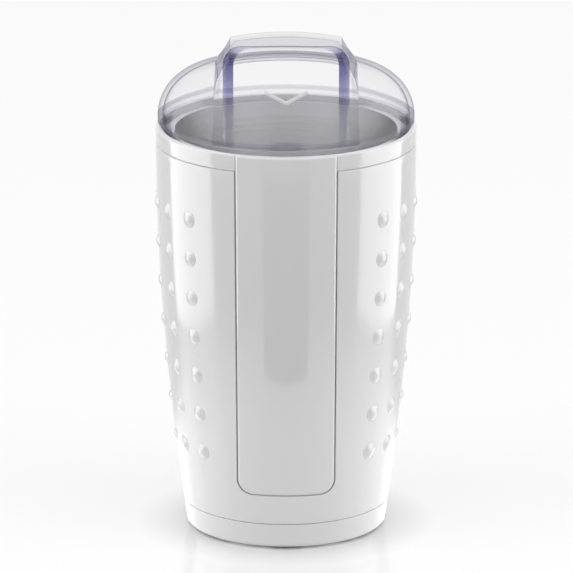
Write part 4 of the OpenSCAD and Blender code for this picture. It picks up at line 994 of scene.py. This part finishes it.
def turned_mesh(name, outline, count):
    """A closed mesh from an outline of (radius, height) that starts and ends on the axis."""
    verts, faces, rows = [], [], []
    turns = [2 * math.pi * k / count for k in range(count)]
    for r, z in outline:
        points = [(r * math.cos(a), r * math.sin(a), z) for a in turns] if r else [(0, 0, z)]
        rows.append(add(verts, points))
    for a, b in zip(rows, rows[1:]):
        for k in range(count):
            m = (k + 1) % count
            if len(a) == 1:
                faces.append((a[0], b[m], b[k]))
            elif len(b) == 1:
                faces.append((a[k], a[m], b[0]))
            else:
                faces.append((a[k], a[m], b[m], b[k]))
    mesh = bpy.data.meshes.new(name)
    mesh.from_pydata([tuple(v) for v in np.asarray(verts) * MM], [], faces)
    return mesh


def base_cover():
    """The cover as it is packed, cut by a turned body with round edges."""
    piece = place("base_cover_skin", frame["nodes"]["base_cover"].data.copy())
    count, sharp_angle, rim_w, level = 180, 35, 0.5, 0.005
    outline, foot_r = cutter_outline()
    cutter = place("base_cutter", turned_mesh("base_cutter", outline, count))
    cut = piece.modifiers.new("cut", "BOOLEAN")
    cut.operation = "INTERSECT"
    cut.object = cutter
    cut.solver = "EXACT"
    bpy.context.view_layer.update()
    done = bpy.data.meshes.new_from_object(piece.evaluated_get(bpy.context.evaluated_depsgraph_get()))
    piece.modifiers.clear()
    piece.data = done
    bpy.data.objects.remove(cutter)
    weld(done, 0.01)
    smooth(done)
    done.set_sharp_from_angle(angle=math.radians(sharp_angle))
    rim_r = foot_r - rim_w
    for edge in done.edges:
        ends = [done.vertices[v].co / MM for v in edge.vertices]
        if all(abs(end.z - BASE_Z) < level and math.hypot(end.x, end.y) > rim_r for end in ends):
            edge.use_edge_sharp = True
    done.materials.clear()
    done.materials.append(WHITE)
    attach(piece, "base")
    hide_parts("base_cover")


# ---- Return spring: the imported coil, welded and smooth-shaded ----

def return_spring():
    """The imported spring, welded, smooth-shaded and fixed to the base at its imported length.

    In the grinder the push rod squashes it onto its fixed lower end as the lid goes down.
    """
    source = frame["nodes"]["return_spring"]
    piece = place("return_spring_coil", source.data.copy())
    piece.matrix_world = source.matrix_world
    weld(piece.data, 0.002)
    smooth(piece.data)
    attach(piece, "base")
    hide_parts("return_spring")
    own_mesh(piece)


housing()
grip_bumps()
front_panel()
collar()
base_cover()
return_spring()
lid()
window_frame()
foot_ring()
lug()
press_mark()


# ---- Studio: floor, soft lamps, world and camera ----

# GLOSS_GLOW, GLOSS_REACH, GLOSS_SIDE and GLOSS_AHEAD set a painted reflection: extra floor glow that only
# reflections see, close to the object and at its sides. FLOOR_SHADE_REACH is the reach of the floor's
# painted contact shade.
FLOOR_GLOW, FLOOR_SHADE_REACH = 0.41, 0.02
GLOSS_GLOW = (1.6, 2.1)
GLOSS_REACH, GLOSS_SIDE, GLOSS_AHEAD = (0.09, 0.30), (0.02, 0.12), (0.03, 0.12)
WORLD_DIFFUSE = 0.37
CAMERA_PLACE, CAMERA_AIM = (0, -2.4004, 0.7797), (0.00015, 0.0022, 0.0885)
CAMERA_LENS, CAMERA_SENSOR = 429.7, 36


def area_light(name, spot, target, width, height, power, glossy=True, diffuse=True):
    """A soft lamp, hidden from the camera and through the lid."""
    data = bpy.data.lights.new(name, "AREA")
    data.shape = "RECTANGLE"
    data.size, data.size_y = width, height
    data.energy = power
    light = place(name, data)
    light.location = spot
    light.rotation_euler = (Vector(target) - Vector(spot)).to_track_quat("-Z", "Y").to_euler()
    light.visible_camera = False
    light.visible_transmission = False
    light.visible_glossy = glossy
    light.visible_diffuse = diffuse


def seen_directly(nodes, links):
    """1 for rays that look at the surface: from the camera, in a reflection or through glass."""
    path = nodes.new("ShaderNodeLightPath")
    first = math_node(nodes, links, "MAXIMUM", path.outputs["Is Camera Ray"], path.outputs["Is Glossy Ray"])
    return math_node(nodes, links, "MAXIMUM", first, path.outputs["Is Transmission Ray"])


def world():
    """White for rays that look at it, and dimmer as a light."""
    made = bpy.data.worlds.new("studio")
    bpy.context.scene.world = made
    made.use_nodes = True
    nodes, links = made.node_tree.nodes, made.node_tree.links
    background = nodes["Background"]
    background.inputs["Color"].default_value = (1, 1, 1, 1)
    level = nodes.new("ShaderNodeMapRange")
    level.inputs["To Min"].default_value = WORLD_DIFFUSE
    level.inputs["To Max"].default_value = 1.0
    links.new(seen_directly(nodes, links), level.inputs["Value"])
    links.new(level.outputs["Result"], background.inputs["Strength"])


def floor():
    """A pale glossy floor that glows for rays that look at it.

    It glows less where something stands close over it, a painted contact shade, and more in the
    object's gloss, where it is close to the object and at its sides, a painted reflection.
    """
    half = 6.0
    corners = [(-half, -half, 0), (half, -half, 0), (half, half, 0), (-half, half, 0)]
    mesh = bpy.data.meshes.new("floor")
    mesh.from_pydata(corners, [], [(0, 1, 2, 3)])
    piece = place("floor", mesh)
    material, nodes, links, shader = new_material("floor")
    shader.inputs["Base Color"].default_value = (0.55, 0.55, 0.55, 1)
    shader.inputs["Roughness"].default_value = 0.05
    shader.inputs["Emission Color"].default_value = (1, 1, 1, 1)
    path = nodes.new("ShaderNodeLightPath")
    through = path.outputs["Is Transmission Ray"]
    looks = math_node(nodes, links, "MAXIMUM", path.outputs["Is Camera Ray"], through)
    # Painted contact shade: the floor's glow fades where something stands close over it
    shade = nodes.new("ShaderNodeAmbientOcclusion")
    shade.inputs["Distance"].default_value = FLOOR_SHADE_REACH
    shade.samples = 8
    glow = math_node(nodes, links, "MULTIPLY", shade.outputs["AO"], FLOOR_GLOW)
    seen = math_node(nodes, links, "MULTIPLY", looks, glow)
    split = split_coords(nodes, links)
    # Painted reflection: extra glow that only glossy rays see, near the object, at its sides and in front
    near = smooth_range(nodes, links, radius(nodes, links, split), *GLOSS_REACH, 1.0, 0.0)
    beside = math_node(nodes, links, "ABSOLUTE", split.outputs["X"], 0.0)
    level = smooth_range(nodes, links, beside, *GLOSS_SIDE, *GLOSS_GLOW)
    ahead = smooth_range(nodes, links, split.outputs["Y"], *GLOSS_AHEAD, 1.0, 0.0)
    painted_reflection_glow = math_node(nodes, links, "MULTIPLY", near, level)
    painted_reflection_glow = math_node(nodes, links, "MULTIPLY", ahead, painted_reflection_glow)
    in_gloss = math_node(nodes, links, "SUBTRACT", path.outputs["Is Glossy Ray"], through)
    in_gloss = math_node(nodes, links, "MAXIMUM", in_gloss, 0.0)
    brighter = math_node(nodes, links, "ADD", painted_reflection_glow, FLOOR_GLOW)
    mirrored = math_node(nodes, links, "MULTIPLY", in_gloss, brighter)
    links.new(math_node(nodes, links, "ADD", seen, mirrored), shader.inputs["Emission Strength"])
    mesh.materials.append(material)


def dark_card():
    """A dark card on the floor in front, which only reflections see: the grey field on the panel."""
    near, far, stand = 0.17, 0.56, 0.0004
    waist_y, waist_half, widening = 0.047, 0.0086, 0.384
    verts = []
    for y, sides in ((near, (-1, 1)), (far, (1, -1))):
        half = waist_half + (y - waist_y) * widening
        verts += [(side * half, -y, stand) for side in sides]
    mesh = bpy.data.meshes.new("dark_card")
    mesh.from_pydata(verts, [], [(3, 2, 1, 0)])
    piece = place("dark_card", mesh)
    material, nodes, links, shader = new_material("card")
    shader.inputs["Base Color"].default_value = (0.02, 0.02, 0.02, 1)
    shader.inputs["Roughness"].default_value = 0.8
    side = nodes.new("ShaderNodeNewGeometry")
    mix_with_clear(nodes, links, side.outputs["Backfacing"], shader)
    mesh.materials.append(material)
    piece.visible_camera = False
    piece.visible_diffuse = False
    piece.visible_shadow = False
    piece.visible_transmission = False


def camera():
    """The photo's view, from slightly above."""
    data = bpy.data.cameras.new("camera")
    data.sensor_width = CAMERA_SENSOR
    data.lens = CAMERA_LENS
    data.clip_end = 50
    cam = place("camera", data)
    cam.location = CAMERA_PLACE
    cam.rotation_euler = (Vector(CAMERA_AIM) - cam.location).to_track_quat("-Z", "Y").to_euler()
    bpy.context.scene.camera = cam


camera()
floor()
dark_card()
world()
area_light("top_soft", (0, -0.2, 1.6), (0, 0, 0.05), 1.6, 1.6, 10, glossy=False)
for side in (-1, 1):
    area_light(f"side_soft_{side + 1}", (side * 1.3, -0.5, 0.6), (0, 0, 0.09), 1.0, 1.2, 6.5, glossy=False)
    area_light(f"side_strip_{side + 1}", (side * 0.24, -0.003, 0.19), (0, -0.003, 0.19), 0.226, 0.38, 1.0,
               diffuse=False)
bpy.context.scene.view_settings.view_transform = "Standard"
